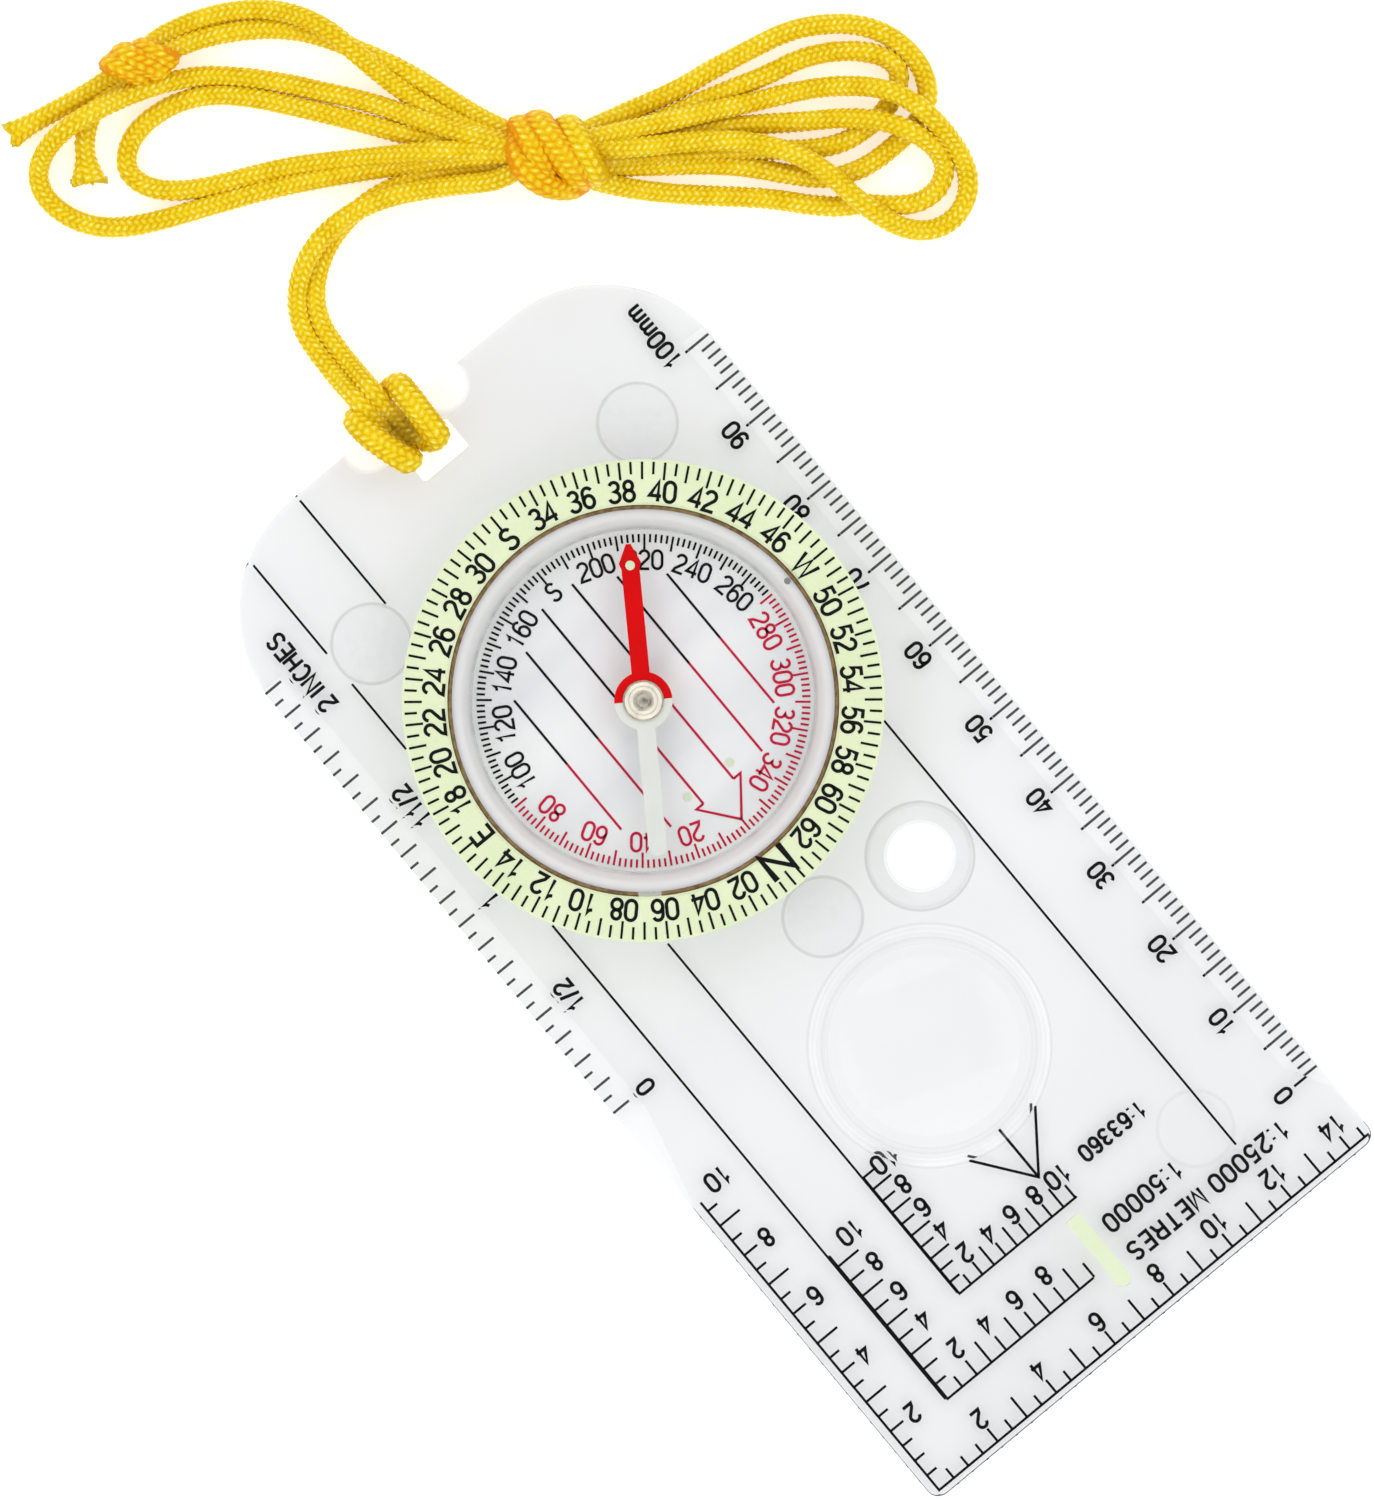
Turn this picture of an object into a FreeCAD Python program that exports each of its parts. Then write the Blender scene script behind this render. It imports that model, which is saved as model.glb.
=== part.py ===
"""Baseplate compass with a lanyard, one STEP file for each separate piece.

Millimetres. +Z is up, +Y is the direction of travel, +X is to the right of it.
The origin is on the surface that the feet stand on, under the middle of the baseplate.
"""
import FreeCAD, Part
import math
import os

V = FreeCAD.Vector
UP = V(0, 0, 1)

# Baseplate
PLATE_WIDTH = 60.0
PLATE_LENGTH = 124.0
PLATE_THICKNESS = 2.8
FOOT_HEIGHT = 0.8
REAR_CORNER_R = 15.0
FRONT_CORNER_R = 1.5
EDGE_ROUND = 0.4
BEVEL_WIDTH = 3.0
BEVEL_DROP = 1.3

# Dial and capsule
DIAL_CENTRE = V(0, -22.2, 0)
DIAL_R = 25.2
CAPSULE_R = 19.95
CAPSULE_WALL = 0.9
CAPSULE_TOP = 9.4
DIAL_GAP = 0.15          # running gap between the turning pieces and the baseplate
SNAP_WIRE_R = 0.28
SNAP_RING_GAP = 2.4

# Needle
NEEDLE_BEARING = 214.1   # degrees clockwise from the direction of travel, of the red end
RED_LENGTH = 16.45
WHITE_LENGTH = 16.25
NEEDLE_WIDTH = 1.9
HUB_R = 3.05
CAP_R = 2.15

# Features of the plate
LENS_CENTRE = V(0, 24.7, 0)
LENS_R = 11.2
LENS_RISE = 1.0
STENCIL_CENTRE = V(-11.9, 8.8, 0)
STENCIL_R = 3.4
FOOT_R = 4.2
FOOT_SEAT = 0.5          # depth of the pocket that a foot is stuck in
FOOT_PLACES = {"foot_front": (0, 7.2), "foot_rear_left": (-18.1, -45.0), "foot_rear_right": (18.1, -45.0)}
SLOT_WIDTH = 6.0
SLOT_REAR = -58.3
SLOT_FRONT = -54.4
BAR_LOW = 2.2
BAR_TOP = 3.1

# Lanyard
CORD_D = 2.1

# Heights worked out from the sizes above
PLATE_LOW = FOOT_HEIGHT
PLATE_TOP = PLATE_LOW + PLATE_THICKNESS
HALF_W = PLATE_WIDTH / 2
HALF_L = PLATE_LENGTH / 2
DISH_LOW = PLATE_LOW + DIAL_GAP
DISH_FLOOR = DISH_LOW + 0.8
HOLE_R = CAPSULE_R + 0.95
DISC_TOP = DISH_FLOOR + 0.4
RIM_TOP = CAPSULE_TOP - 2.0
NEEDLE_LOW = 4.4
SLEEVE_LOW = NEEDLE_LOW + 0.3
SLEEVE_TOP = SLEEVE_LOW + 0.4


# ---------------------------------------------------------------- shared shapes

def polygon_face(points):
    """A flat face from corner points."""
    corners = [V(*p) for p in points]
    return Part.Face(Part.makePolygon(corners + corners[:1]))


def turned(profile, centre):
    """A solid turned about the vertical line through centre, from (radius, height) corners."""
    face = polygon_face([(r, 0, z) for r, z in profile])
    solid = face.revolve(V(0, 0, 0), UP, 360)
    solid.translate(centre)
    return solid


def disc(radius, low, high, centre):
    """An upright cylinder between two heights."""
    return Part.makeCylinder(radius, high - low, centre + V(0, 0, low))


def block(x0, x1, y0, y1, z0, z1):
    """A box between two opposite corners."""
    return Part.makeBox(x1 - x0, y1 - y0, z1 - z0, V(x0, y0, z0))


def outline_edges(corners):
    """Edges of a closed outline from (x, y, corner radius) corners."""
    count = len(corners)
    arcs = []
    for i, (x, y, radius) in enumerate(corners):
        here = V(x, y, 0)
        back = V(*corners[i - 1][:2], 0) - here
        ahead = V(*corners[(i + 1) % count][:2], 0) - here
        back.normalize()
        ahead.normalize()
        half_turn = (math.pi - back.getAngle(ahead)) / 2
        reach = radius * math.tan(half_turn)
        middle = (back + ahead).normalize() * (radius / math.cos(half_turn) - radius)
        arcs.append((here + back * reach, here + middle, here + ahead * reach))
    edges = []
    for i, (start, middle, end) in enumerate(arcs):
        edges.append(Part.Arc(start, middle, end).toShape())
        edges.append(Part.LineSegment(end, arcs[(i + 1) % count][0]).toShape())
    return edges


def prism(corners, low, high):
    """An upright solid over an outline with rounded corners."""
    face = Part.Face(Part.Wire(outline_edges(corners)))
    solid = face.extrude(V(0, 0, high - low))
    solid.translate(V(0, 0, low))
    return solid


# ---------------------------------------------------------------- baseplate

def plate_blank():
    """The plain plate, with its outer edges rounded over."""
    blank = prism(
        [
            (-HALF_W, -HALF_L, REAR_CORNER_R),
            (HALF_W, -HALF_L, REAR_CORNER_R),
            (HALF_W, HALF_L, FRONT_CORNER_R),
            (-HALF_W, HALF_L, FRONT_CORNER_R),
        ],
        PLATE_LOW,
        PLATE_TOP,
    )
    rims = [e for e in blank.Edges if abs(e.BoundBox.ZLength) < 1e-6]
    return blank.makeFillet(EDGE_ROUND, rims)


def edge_bevel(side, y_rear, y_front, run_out):
    """The wedge cut off a long edge, which fades out over run_out at its front end."""
    def section(y, depth):
        inner = side * (HALF_W - BEVEL_WIDTH * depth)
        outer = side * (HALF_W + 1)
        low = PLATE_TOP - BEVEL_DROP * depth * (1 + 1 / (BEVEL_WIDTH * depth))
        return Part.makePolygon(
            [V(inner, y, PLATE_TOP), V(outer, y, low), V(outer, y, PLATE_TOP + 1),
             V(inner, y, PLATE_TOP + 1), V(inner, y, PLATE_TOP)]
        )

    straight = Part.makeLoft([section(y_rear, 1.0), section(y_front, 1.0)], True, True)
    fading = Part.makeLoft([section(y_front, 1.0), section(y_front + run_out, 0.1)], True, True)
    return straight.fuse(fading)


def lens_dome():
    """The raised lens, a cap of a sphere that starts below the plate's top."""
    edge_z = PLATE_TOP - 0.4
    rise = LENS_RISE + 0.4
    sphere_r = (LENS_R ** 2 + rise ** 2) / (2 * rise)
    ball = Part.makeSphere(sphere_r, LENS_CENTRE + V(0, 0, edge_z + rise - sphere_r))
    return ball.common(disc(LENS_R, PLATE_LOW + 1.0, PLATE_TOP + LENS_RISE + 1, LENS_CENTRE))


def lens_groove():
    """The ring round the lens, with a steep inner wall and a sloping outer one."""
    top = PLATE_TOP + 0.01
    floor = PLATE_TOP - 0.5
    return turned([(LENS_R - 0.4, floor), (LENS_R + 0.7, floor), (LENS_R + 1.5, top), (LENS_R - 0.4, top)],
                  LENS_CENTRE)


def stencil_cuts():
    """The stencil hole and the shallow cone round it."""
    cone_r = STENCIL_R + 2.2
    step_r = STENCIL_R + 0.35
    cone = turned([(0, PLATE_TOP - 0.55), (step_r, PLATE_TOP - 0.55), (cone_r, PLATE_TOP + 0.01),
                   (0, PLATE_TOP + 0.01)], STENCIL_CENTRE)
    return disc(STENCIL_R, 0, PLATE_TOP + 1, STENCIL_CENTRE).fuse(cone)


def lanyard_cuts():
    """The lanyard slot, and the hollows above and below the bar behind it."""
    slot = prism([(-SLOT_WIDTH / 2, SLOT_REAR, 0.4), (SLOT_WIDTH / 2, SLOT_REAR, 0.4),
                  (SLOT_WIDTH / 2, SLOT_FRONT, 0.4), (-SLOT_WIDTH / 2, SLOT_FRONT, 0.4)],
                 PLATE_LOW - 1, PLATE_TOP + 1)
    hollow_half = 8.0
    corners = [(-hollow_half, -HALF_L - 4, 0.5), (hollow_half, -HALF_L - 4, 0.5),
               (hollow_half, SLOT_REAR + 0.1, 2.8), (-hollow_half, SLOT_REAR + 0.1, 2.8)]
    below = prism(corners, PLATE_LOW - 1, BAR_LOW)
    above = prism(corners, BAR_TOP, PLATE_TOP + 1)
    return slot.fuse([below, above])


def index_outline(grow):
    """Corners of the luminous bar's outline, square at the rear and rounded at the front."""
    half = 0.85 + grow
    return [(-half, 48.1 - grow, 0.2), (half, 48.1 - grow, 0.2),
            (half, 57.2 + grow, 0.84), (-half, 57.2 + grow, 0.84)]


def baseplate():
    """The moulded clear plate, with its lens, holes, slot, bevels and pockets."""
    plate = plate_blank()
    cuts = [
        disc(HOLE_R, 0, PLATE_TOP + 1, DIAL_CENTRE),
        disc(HOLE_R + 1.4, 0, DISH_FLOOR + DIAL_GAP, DIAL_CENTRE),
        stencil_cuts(),
        lanyard_cuts(),
        prism(index_outline(0.05), PLATE_TOP - 1.0, PLATE_TOP + 1),
        edge_bevel(-1, -48.5, 50.0, 5.0),
        edge_bevel(1, -48.5, 11.0, 11.0),
        lens_groove(),
        disc(4.0, 0, PLATE_LOW + 0.12, V(-17.7, 49.5, 0)),
    ]
    for x, y in FOOT_PLACES.values():
        cuts.append(disc(FOOT_R, 0, PLATE_LOW + FOOT_SEAT, V(x, y, 0)))
    for cut in cuts:
        plate = plate.cut(cut)
    return plate.fuse(lens_dome()).removeSplitter()


def index_bar():
    """The luminous bar let into the front of the plate."""
    return prism(index_outline(0), PLATE_TOP - 1.0, PLATE_TOP - 0.05)


def foot(x, y):
    """A round soft foot stuck in its pocket, with a rounded rim."""
    top = PLATE_LOW + FOOT_SEAT - 0.02      # a film of glue between the foot and its pocket
    profile = [(0, 0), (FOOT_R - 0.9, 0), (FOOT_R - 0.35, 0.15), (FOOT_R - 0.1, 0.45),
               (FOOT_R - 0.1, top), (0, top)]
    return turned(profile, V(x, y, 0))


# ---------------------------------------------------------------- dial and capsule

SNAP_Z = 5.9             # height of the snap ring
SNAP_R = CAPSULE_R + 0.25


def bezel_ring():
    """The turning dial ring, with a skirt in the plate's hole and a groove for the snap ring."""
    inner = CAPSULE_R + 0.5
    skirt = HOLE_R - DIAL_GAP
    low = PLATE_TOP + DIAL_GAP
    profile = [
        (inner, 2.1), (skirt, 2.1), (skirt, low), (DIAL_R - 0.4, low), (DIAL_R, low + 0.4),
        (DIAL_R, 6.1), (DIAL_R - 0.3, 6.45), (inner + 0.3, 6.9), (inner, 6.7),
        (inner, SNAP_Z + 0.35), (inner + 0.12, SNAP_Z + 0.3),
        (inner + 0.12, SNAP_Z - 0.3), (inner, SNAP_Z - 0.35),
    ]
    return turned(profile, DIAL_CENTRE)


def plug_hole(radius):
    """The filling hole, down through the lid's rim into the dish's wall."""
    place = DIAL_CENTRE + V(-(CAPSULE_R - CAPSULE_WALL / 2), 0, 0)
    return disc(radius, RIM_TOP - 1.0, RIM_TOP + 0.65, place)


def capsule_dish():
    """The clear dish: floor, wall, and a flange that sits under the plate."""
    inner = CAPSULE_R - CAPSULE_WALL
    profile = [
        (0, DISH_LOW), (CAPSULE_R + 2.05, DISH_LOW), (CAPSULE_R + 2.05, DISH_FLOOR),
        (CAPSULE_R, DISH_FLOOR), (CAPSULE_R, SNAP_Z - 0.35), (CAPSULE_R - 0.1, SNAP_Z - 0.3),
        (CAPSULE_R - 0.1, SNAP_Z + 0.3), (CAPSULE_R, SNAP_Z + 0.35), (CAPSULE_R, RIM_TOP),
        (inner, RIM_TOP), (inner, DISH_FLOOR), (0, DISH_FLOOR),
    ]
    return turned(profile, DIAL_CENTRE).cut(plug_hole(0.35))


def capsule_lid():
    """The clear lid: a flat top, a wide polished bevel, and a spigot inside the dish."""
    spigot = CAPSULE_R - CAPSULE_WALL - 0.1
    under = CAPSULE_TOP - 1.3
    profile = [
        (0, under), (spigot - 0.6, under), (spigot - 0.6, RIM_TOP - 0.6), (spigot, RIM_TOP - 0.6),
        (spigot, RIM_TOP), (CAPSULE_R, RIM_TOP), (CAPSULE_R, RIM_TOP + 0.5),
        (CAPSULE_R - 2.05, CAPSULE_TOP), (0, CAPSULE_TOP),
    ]
    opened = disc(0.35, RIM_TOP - 1.0, CAPSULE_TOP, DIAL_CENTRE + V(-(CAPSULE_R - CAPSULE_WALL / 2), 0, 0))
    return turned(profile, DIAL_CENTRE).cut(opened)


def fill_plug():
    """The plug that seals the filling hole."""
    return plug_hole(0.34)


def snap_ring():
    """The split wire ring that locks the capsule in the dial ring."""
    gap_deg = math.degrees(SNAP_RING_GAP / SNAP_R)
    ring = Part.makeTorus(SNAP_R, SNAP_WIRE_R, V(0, 0, 0), UP, -180, 180, 360 - gap_deg)
    ring.rotate(V(0, 0, 0), UP, 90 - 37.7 + gap_deg / 2)
    ring.translate(DIAL_CENTRE + V(0, 0, SNAP_Z))
    return ring


def scale_disc():
    """The thin disc on the capsule's floor, which bears the degree scale and the orienting lines."""
    profile = [(1.3, DISH_FLOOR), (18.9, DISH_FLOOR), (18.9, DISC_TOP), (1.3, DISC_TOP)]
    return turned(profile, DIAL_CENTRE)


def orienting_dot(side):
    """One of the two luminous dots beside the orienting arrow."""
    return disc(0.45, DISC_TOP, DISC_TOP + 0.12, DIAL_CENTRE + V(side * 2.85, 10.7, 0))


def pivot_bush():
    """The stepped brass bush that holds the pivot pin."""
    profile = [(0.3, DISH_FLOOR), (1.25, DISH_FLOOR), (1.25, DISC_TOP + 0.2), (0.7, DISC_TOP + 0.5),
               (0.7, DISC_TOP + 1.1), (0.3, DISC_TOP + 1.1)]
    return turned(profile, DIAL_CENTRE)


def pivot_pin():
    """The steel pin with the point that the needle turns on."""
    profile = [(0, DISH_FLOOR), (0.29, DISH_FLOOR), (0.29, SLEEVE_LOW - 0.3), (0.06, SLEEVE_LOW + 0.4),
               (0, SLEEVE_LOW + 0.45)]
    return turned(profile, DIAL_CENTRE)


# ---------------------------------------------------------------- needle

def place_on_needle(shape):
    """Turns a shape drawn along +Y to the needle's bearing, at the dial's centre."""
    shape.rotate(V(0, 0, 0), UP, -NEEDLE_BEARING)
    shape.translate(DIAL_CENTRE)
    return shape


def needle_magnet():
    """The magnetised steel strip, with a boss round the jewel."""
    strip = block(-0.6, 0.6, -15.0, 15.0, NEEDLE_LOW, SLEEVE_LOW)
    boss = disc(1.7, NEEDLE_LOW, SLEEVE_LOW, V(0, 0, 0))
    bar = strip.fuse(boss).cut(disc(0.95, 0, CAPSULE_TOP, V(0, 0, 0)))
    return place_on_needle(bar.removeSplitter())


def half_hub():
    """Half of the flat ring round the cap, on the +Y side."""
    ring = disc(HUB_R, SLEEVE_LOW, SLEEVE_TOP, V(0, 0, 0)).cut(disc(0.95, 0, CAPSULE_TOP, V(0, 0, 0)))
    return ring.common(block(-HUB_R - 1, HUB_R + 1, 0, HUB_R + 1, 0, CAPSULE_TOP))


def red_half():
    """The red sleeve: half the hub, an arm, and an arrow tip with shoulders."""
    half = NEEDLE_WIDTH / 2
    shoulder = RED_LENGTH - 2.0
    arm = polygon_face([(-half, 0.8, 0), (half, 0.8, 0), (half, shoulder - 0.6, 0), (half + 0.22, shoulder, 0),
                        (0.25, RED_LENGTH, 0), (-0.25, RED_LENGTH, 0), (-half - 0.22, shoulder, 0),
                        (-half, shoulder - 0.6, 0)])
    arm = arm.extrude(V(0, 0, SLEEVE_TOP - SLEEVE_LOW))
    arm.translate(V(0, 0, SLEEVE_LOW))
    sleeve = half_hub().fuse(arm.cut(disc(HUB_R - 0.3, 0, CAPSULE_TOP, V(0, 0, 0))))
    return place_on_needle(sleeve.removeSplitter())


def white_half():
    """The white sleeve: half the hub and an arm with a round end."""
    half = NEEDLE_WIDTH / 2
    arm = prism([(-half, 0.8, 0.01), (half, 0.8, 0.01), (half, WHITE_LENGTH, half - 0.01),
                 (-half, WHITE_LENGTH, half - 0.01)], SLEEVE_LOW, SLEEVE_TOP)
    sleeve = half_hub().fuse(arm.cut(disc(HUB_R - 0.3, 0, CAPSULE_TOP, V(0, 0, 0)))).removeSplitter()
    sleeve.rotate(V(0, 0, 0), UP, 180)
    return place_on_needle(sleeve)


def needle_cap():
    """The domed cap over the hub, with turned rings on it."""
    seat = SLEEVE_TOP
    profile = [
        (0.95, seat), (CAP_R, seat), (CAP_R, seat + 0.25), (CAP_R - 0.2, seat + 0.45), (1.55, seat + 0.6),
        (1.5, seat + 0.72), (1.1, seat + 0.85), (1.05, seat + 0.96), (0.5, seat + 1.06), (0, seat + 1.1),
        (0, seat + 0.6), (0.95, seat + 0.6),
    ]
    return turned(profile, DIAL_CENTRE)


def jewel_cup():
    """The jewel with a cone in its underside, which rides on the pin's point."""
    profile = [(0.55, SLEEVE_LOW - 0.1), (0.93, SLEEVE_LOW - 0.1), (0.93, SLEEVE_TOP + 0.55), (0, SLEEVE_TOP + 0.55),
               (0, SLEEVE_LOW + 0.5)]
    return turned(profile, DIAL_CENTRE)


def needle_dot():
    """The luminous dot near the red tip."""
    return place_on_needle(disc(0.5, SLEEVE_TOP, SLEEVE_TOP + 0.1, V(0, 14.2, 0)))


# ---------------------------------------------------------------- lanyard

HITCH_ROUTE = [
    (0.9, -60.8, 1.08), (0.6, -58.9, 1.1), (-0.3, -57.4, 1.6), (-1.0, -56.9, 3.0), (-1.2, -57.8, 4.3),
    (-1.3, -59.7, 4.5), (-1.4, -61.8, 4.45), (-1.45, -63.6, 3.7), (-1.3, -64.4, 2.2), (-0.4, -64.6, 1.15),
    (1.4, -64.3, 1.05), (3.2, -64.5, 1.1), (4.3, -64.5, 2.1), (4.5, -63.6, 3.5), (4.3, -61.8, 4.45),
    (3.8, -59.7, 4.5), (3.2, -57.8, 4.3), (2.8, -56.9, 3.0), (2.7, -57.4, 1.6), (2.8, -58.9, 1.1),
    (2.8, -60.8, 1.08),
]
LEAD_A_ROUTE = [
    (1.0, -60.8, 1.08), (1.05, -62.6, 1.9), (1.1, -64.2, 3.15), (1.15, -66.0, 3.0), (1.2, -68.4, 1.4),
    (1.15, -71.4, 1.05), (0.85, -74.4, 1.05), (-0.7, -77.3, 1.05), (-3.6, -79.6, 1.05), (-7.2, -80.9, 1.05),
    (-11.0, -81.1, 1.05), (-14.8, -80.4, 1.05), (-18.4, -78.9, 1.1), (-21.7, -76.9, 1.7), (-24.8, -75.0, 2.6),
]
LEAD_B_ROUTE = [
    (2.8, -60.8, 1.08), (2.85, -62.6, 1.9), (2.9, -64.2, 3.15), (2.95, -66.0, 3.0), (3.05, -68.4, 1.4),
    (3.0, -71.6, 1.05), (2.7, -75.0, 1.05), (1.1, -78.0, 1.2), (-1.8, -80.2, 2.4), (-5.3, -81.2, 3.15),
    (-9.2, -81.1, 3.15), (-12.9, -80.0, 3.0), (-16.4, -78.2, 2.5), (-19.7, -76.1, 2.9), (-22.9, -73.8, 3.9),
]
END_A_ROUTE = [
    (-26.6, -78.2, 2.4), (-25.2, -82.0, 1.3), (-24.0, -86.0, 1.05), (-22.5, -90.2, 1.05), (-20.4, -94.2, 1.05),
    (-18.2, -98.2, 1.05), (-15.2, -101.4, 1.05), (-11.6, -103.9, 1.05), (-8.0, -105.7, 1.2), (-4.6, -106.6, 1.9),
]
END_B_ROUTE = [
    (-24.6, -79.2, 2.6), (-23.0, -83.0, 1.4), (-21.6, -87.0, 1.05), (-20.6, -91.2, 1.9), (-20.0, -94.8, 3.15),
    (-19.2, -98.4, 3.15), (-17.3, -101.9, 1.9), (-14.3, -104.7, 1.05), (-10.6, -106.8, 1.05), (-6.8, -108.0, 1.2),
    (-4.0, -108.3, 1.9),
]
TAIL_A_ROUTE = [(0.6, -108.2, 1.5), (3.2, -108.4, 1.1), (6.2, -108.9, 1.05), (9.4, -109.6, 1.05),
                (13.2, -110.3, 1.05)]
TAIL_B_ROUTE = [(0.6, -106.4, 1.5), (3.0, -107.0, 1.1), (5.4, -106.6, 1.05), (7.4, -105.2, 1.05),
                (8.8, -103.3, 1.05), (10.0, -101.3, 1.05)]
CORD_ROUTES = {
    "lanyard_hitch": HITCH_ROUTE,
    "lanyard_lead_a": LEAD_A_ROUTE,
    "lanyard_lead_b": LEAD_B_ROUTE,
    "lanyard_end_a": END_A_ROUTE,
    "lanyard_end_b": END_B_ROUTE,
    "lanyard_tail_a": TAIL_A_ROUTE,
    "lanyard_tail_b": TAIL_B_ROUTE,
}
HANK_KNOT_CENTRE = V(-29.3, -72.7, 4.2)
HANK_KNOT_LENGTH = 8.6
HANK_KNOT_R = 4.2
HANK_AXIS = V(-0.77, 0.64, 0)
END_KNOT_CENTRE = V(-1.9, -107.1, 3.1)
NEAR_LOOPS = [
    (-26.2, -77.2), (-20.6, -86.2), (-14.6, -95.6), (-6.0, -103.8), (4.0, -107.8), (12.4, -107.6),
    (15.4, -102.0), (11.0, -94.6), (0.0, -89.6), (-12.0, -83.2), (-21.0, -78.0), (-25.6, -75.0),
]
FAR_LOOPS = [
    (-33.6, -74.4), (-40.0, -70.8), (-50.0, -69.0), (-59.0, -66.6), (-64.8, -60.0), (-65.0, -53.0),
    (-63.4, -45.0), (-58.0, -39.6), (-52.2, -43.0), (-45.0, -51.4), (-38.0, -58.2), (-32.0, -65.4),
]


def route_wire(name, route):
    """Straight runs joined by tangent arcs, each as large as its two runs allow."""
    points = [V(*p) for p in route]
    edges = []
    radii = []
    start = points[0]
    for before, here, after in zip(points, points[1:], points[2:]):
        back = before - here
        ahead = after - here
        shorter = min(back.Length, ahead.Length)
        back.normalize()
        ahead.normalize()
        half_turn = (math.pi - back.getAngle(ahead)) / 2
        reach = 0.45 * shorter
        radius = reach / math.tan(half_turn)
        radii.append(radius)
        bulge = (back + ahead).normalize() * (radius / math.cos(half_turn) - radius)
        arc_end = here + ahead * reach
        edges.append(Part.LineSegment(start, here + back * reach).toShape())
        edges.append(Part.Arc(here + back * reach, here + bulge, arc_end).toShape())
        start = arc_end
    edges.append(Part.LineSegment(start, points[-1]).toShape())
    wire = Part.Wire(edges)
    print(f"{name}: length {wire.Length:.1f}, radii {' '.join(f'{r:.1f}' for r in radii)}")
    return wire


def cord_tube(name, route):
    """A round cord along its route."""
    wire = route_wire(name, route)
    first = V(*route[0])
    heading = V(*route[1]) - first
    section = Part.Wire(Part.makeCircle(CORD_D / 2, first, heading))
    tube = wire.makePipeShell([section], True, True)
    expected = math.pi * (CORD_D / 2) ** 2 * wire.Length
    print(f"{name}: volume {tube.Volume:.1f} of {expected:.1f} expected")
    return tube


def hank_knot():
    """The outer shape of the turns that bind the hank, a barrel lying along it."""
    half = HANK_KNOT_LENGTH / 2
    end_r = HANK_KNOT_R - 1.0
    bow = Part.Arc(V(-half, end_r, 0), V(0, HANK_KNOT_R, 0), V(half, end_r, 0)).toShape()
    sides = [((half, end_r), (half, 0)), ((half, 0), (-half, 0)), ((-half, 0), (-half, end_r))]
    edges = [bow] + [Part.LineSegment(V(*a, 0), V(*b, 0)).toShape() for a, b in sides]
    barrel = Part.Face(Part.Wire(edges)).revolve(V(0, 0, 0), V(1, 0, 0), 360)
    barrel.rotate(V(0, 0, 0), UP, math.degrees(math.atan2(HANK_AXIS.y, HANK_AXIS.x)))
    barrel.translate(HANK_KNOT_CENTRE)
    return barrel


def end_knot():
    """The outer shape of the overhand knot in both strands."""
    return Part.makeSphere(END_KNOT_CENTRE.z, END_KNOT_CENTRE)


def loops_solid(outline, far_point):
    """The outer shape of a set of loops, lower towards far_point than beside the knot."""
    near_height = 2 * HANK_KNOT_R - 1.6
    far_height = 2 * CORD_D + 0.2
    curve = Part.BSplineCurve()
    curve.interpolate(Points=[V(x, y, 0) for x, y in outline], PeriodicFlag=True)
    solid = Part.Face(Part.Wire(curve.toShape())).extrude(V(0, 0, near_height))
    run = V(*far_point, 0) - V(HANK_KNOT_CENTRE.x, HANK_KNOT_CENTRE.y, 0)
    drop = math.degrees(math.atan2(near_height - far_height, run.Length))
    lid = Part.makeBox(2 * run.Length, 4 * run.Length, 20, V(0, -2 * run.Length, 0))
    lid.rotate(V(0, 0, 0), V(0, 1, 0), drop)
    lid.rotate(V(0, 0, 0), UP, math.degrees(math.atan2(run.y, run.x)))
    lid.translate(V(HANK_KNOT_CENTRE.x, HANK_KNOT_CENTRE.y, near_height))
    return solid.cut(lid).cut(hank_knot())


# ---------------------------------------------------------------- all pieces

def all_pieces():
    """Every node's name and its solid."""
    pieces = {
        "baseplate": baseplate(),
        "index_bar": index_bar(),
        "bezel_ring": bezel_ring(),
        "capsule_dish": capsule_dish(),
        "capsule_lid": capsule_lid(),
        "fill_plug": fill_plug(),
        "snap_ring": snap_ring(),
        "scale_disc": scale_disc(),
        "orienting_dot_left": orienting_dot(-1),
        "orienting_dot_right": orienting_dot(1),
        "pivot_bush": pivot_bush(),
        "pivot_pin": pivot_pin(),
        "needle_magnet": needle_magnet(),
        "needle_red_half": red_half(),
        "needle_white_half": white_half(),
        "needle_cap": needle_cap(),
        "jewel_cup": jewel_cup(),
        "needle_dot": needle_dot(),
        "hank_knot": hank_knot(),
        "end_knot": end_knot(),
        "hank_near_loops": loops_solid(NEAR_LOOPS, (15.0, -103.0)),
        "hank_far_loops": loops_solid(FAR_LOOPS, (-61.0, -46.0)),
    }
    for name, (x, y) in FOOT_PLACES.items():
        pieces[name] = foot(x, y)
    for name, route in CORD_ROUTES.items():
        pieces[name] = cord_tube(name, route)
    return pieces


def main():
    """Builds every piece and writes its STEP file."""
    os.makedirs("parts", exist_ok=True)
    for name, shape in all_pieces().items():
        solids = shape.Solids
        print(f"{name}: solids {len(solids)}, valid {shape.isValid()}, volume {shape.Volume:.2f}")
        out = solids[0] if len(solids) == 1 else shape
        out.exportStep(f"parts/{name}.step")


main()
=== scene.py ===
"""A baseplate compass with its lanyard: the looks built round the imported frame.

Lengths in the dataclasses are millimetres, turned to metres where a mesh is made.
"""
import logging
import math
from dataclasses import dataclass, field
from enum import Enum

import bpy
import numpy as np
from mathutils import Matrix, Vector


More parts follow.
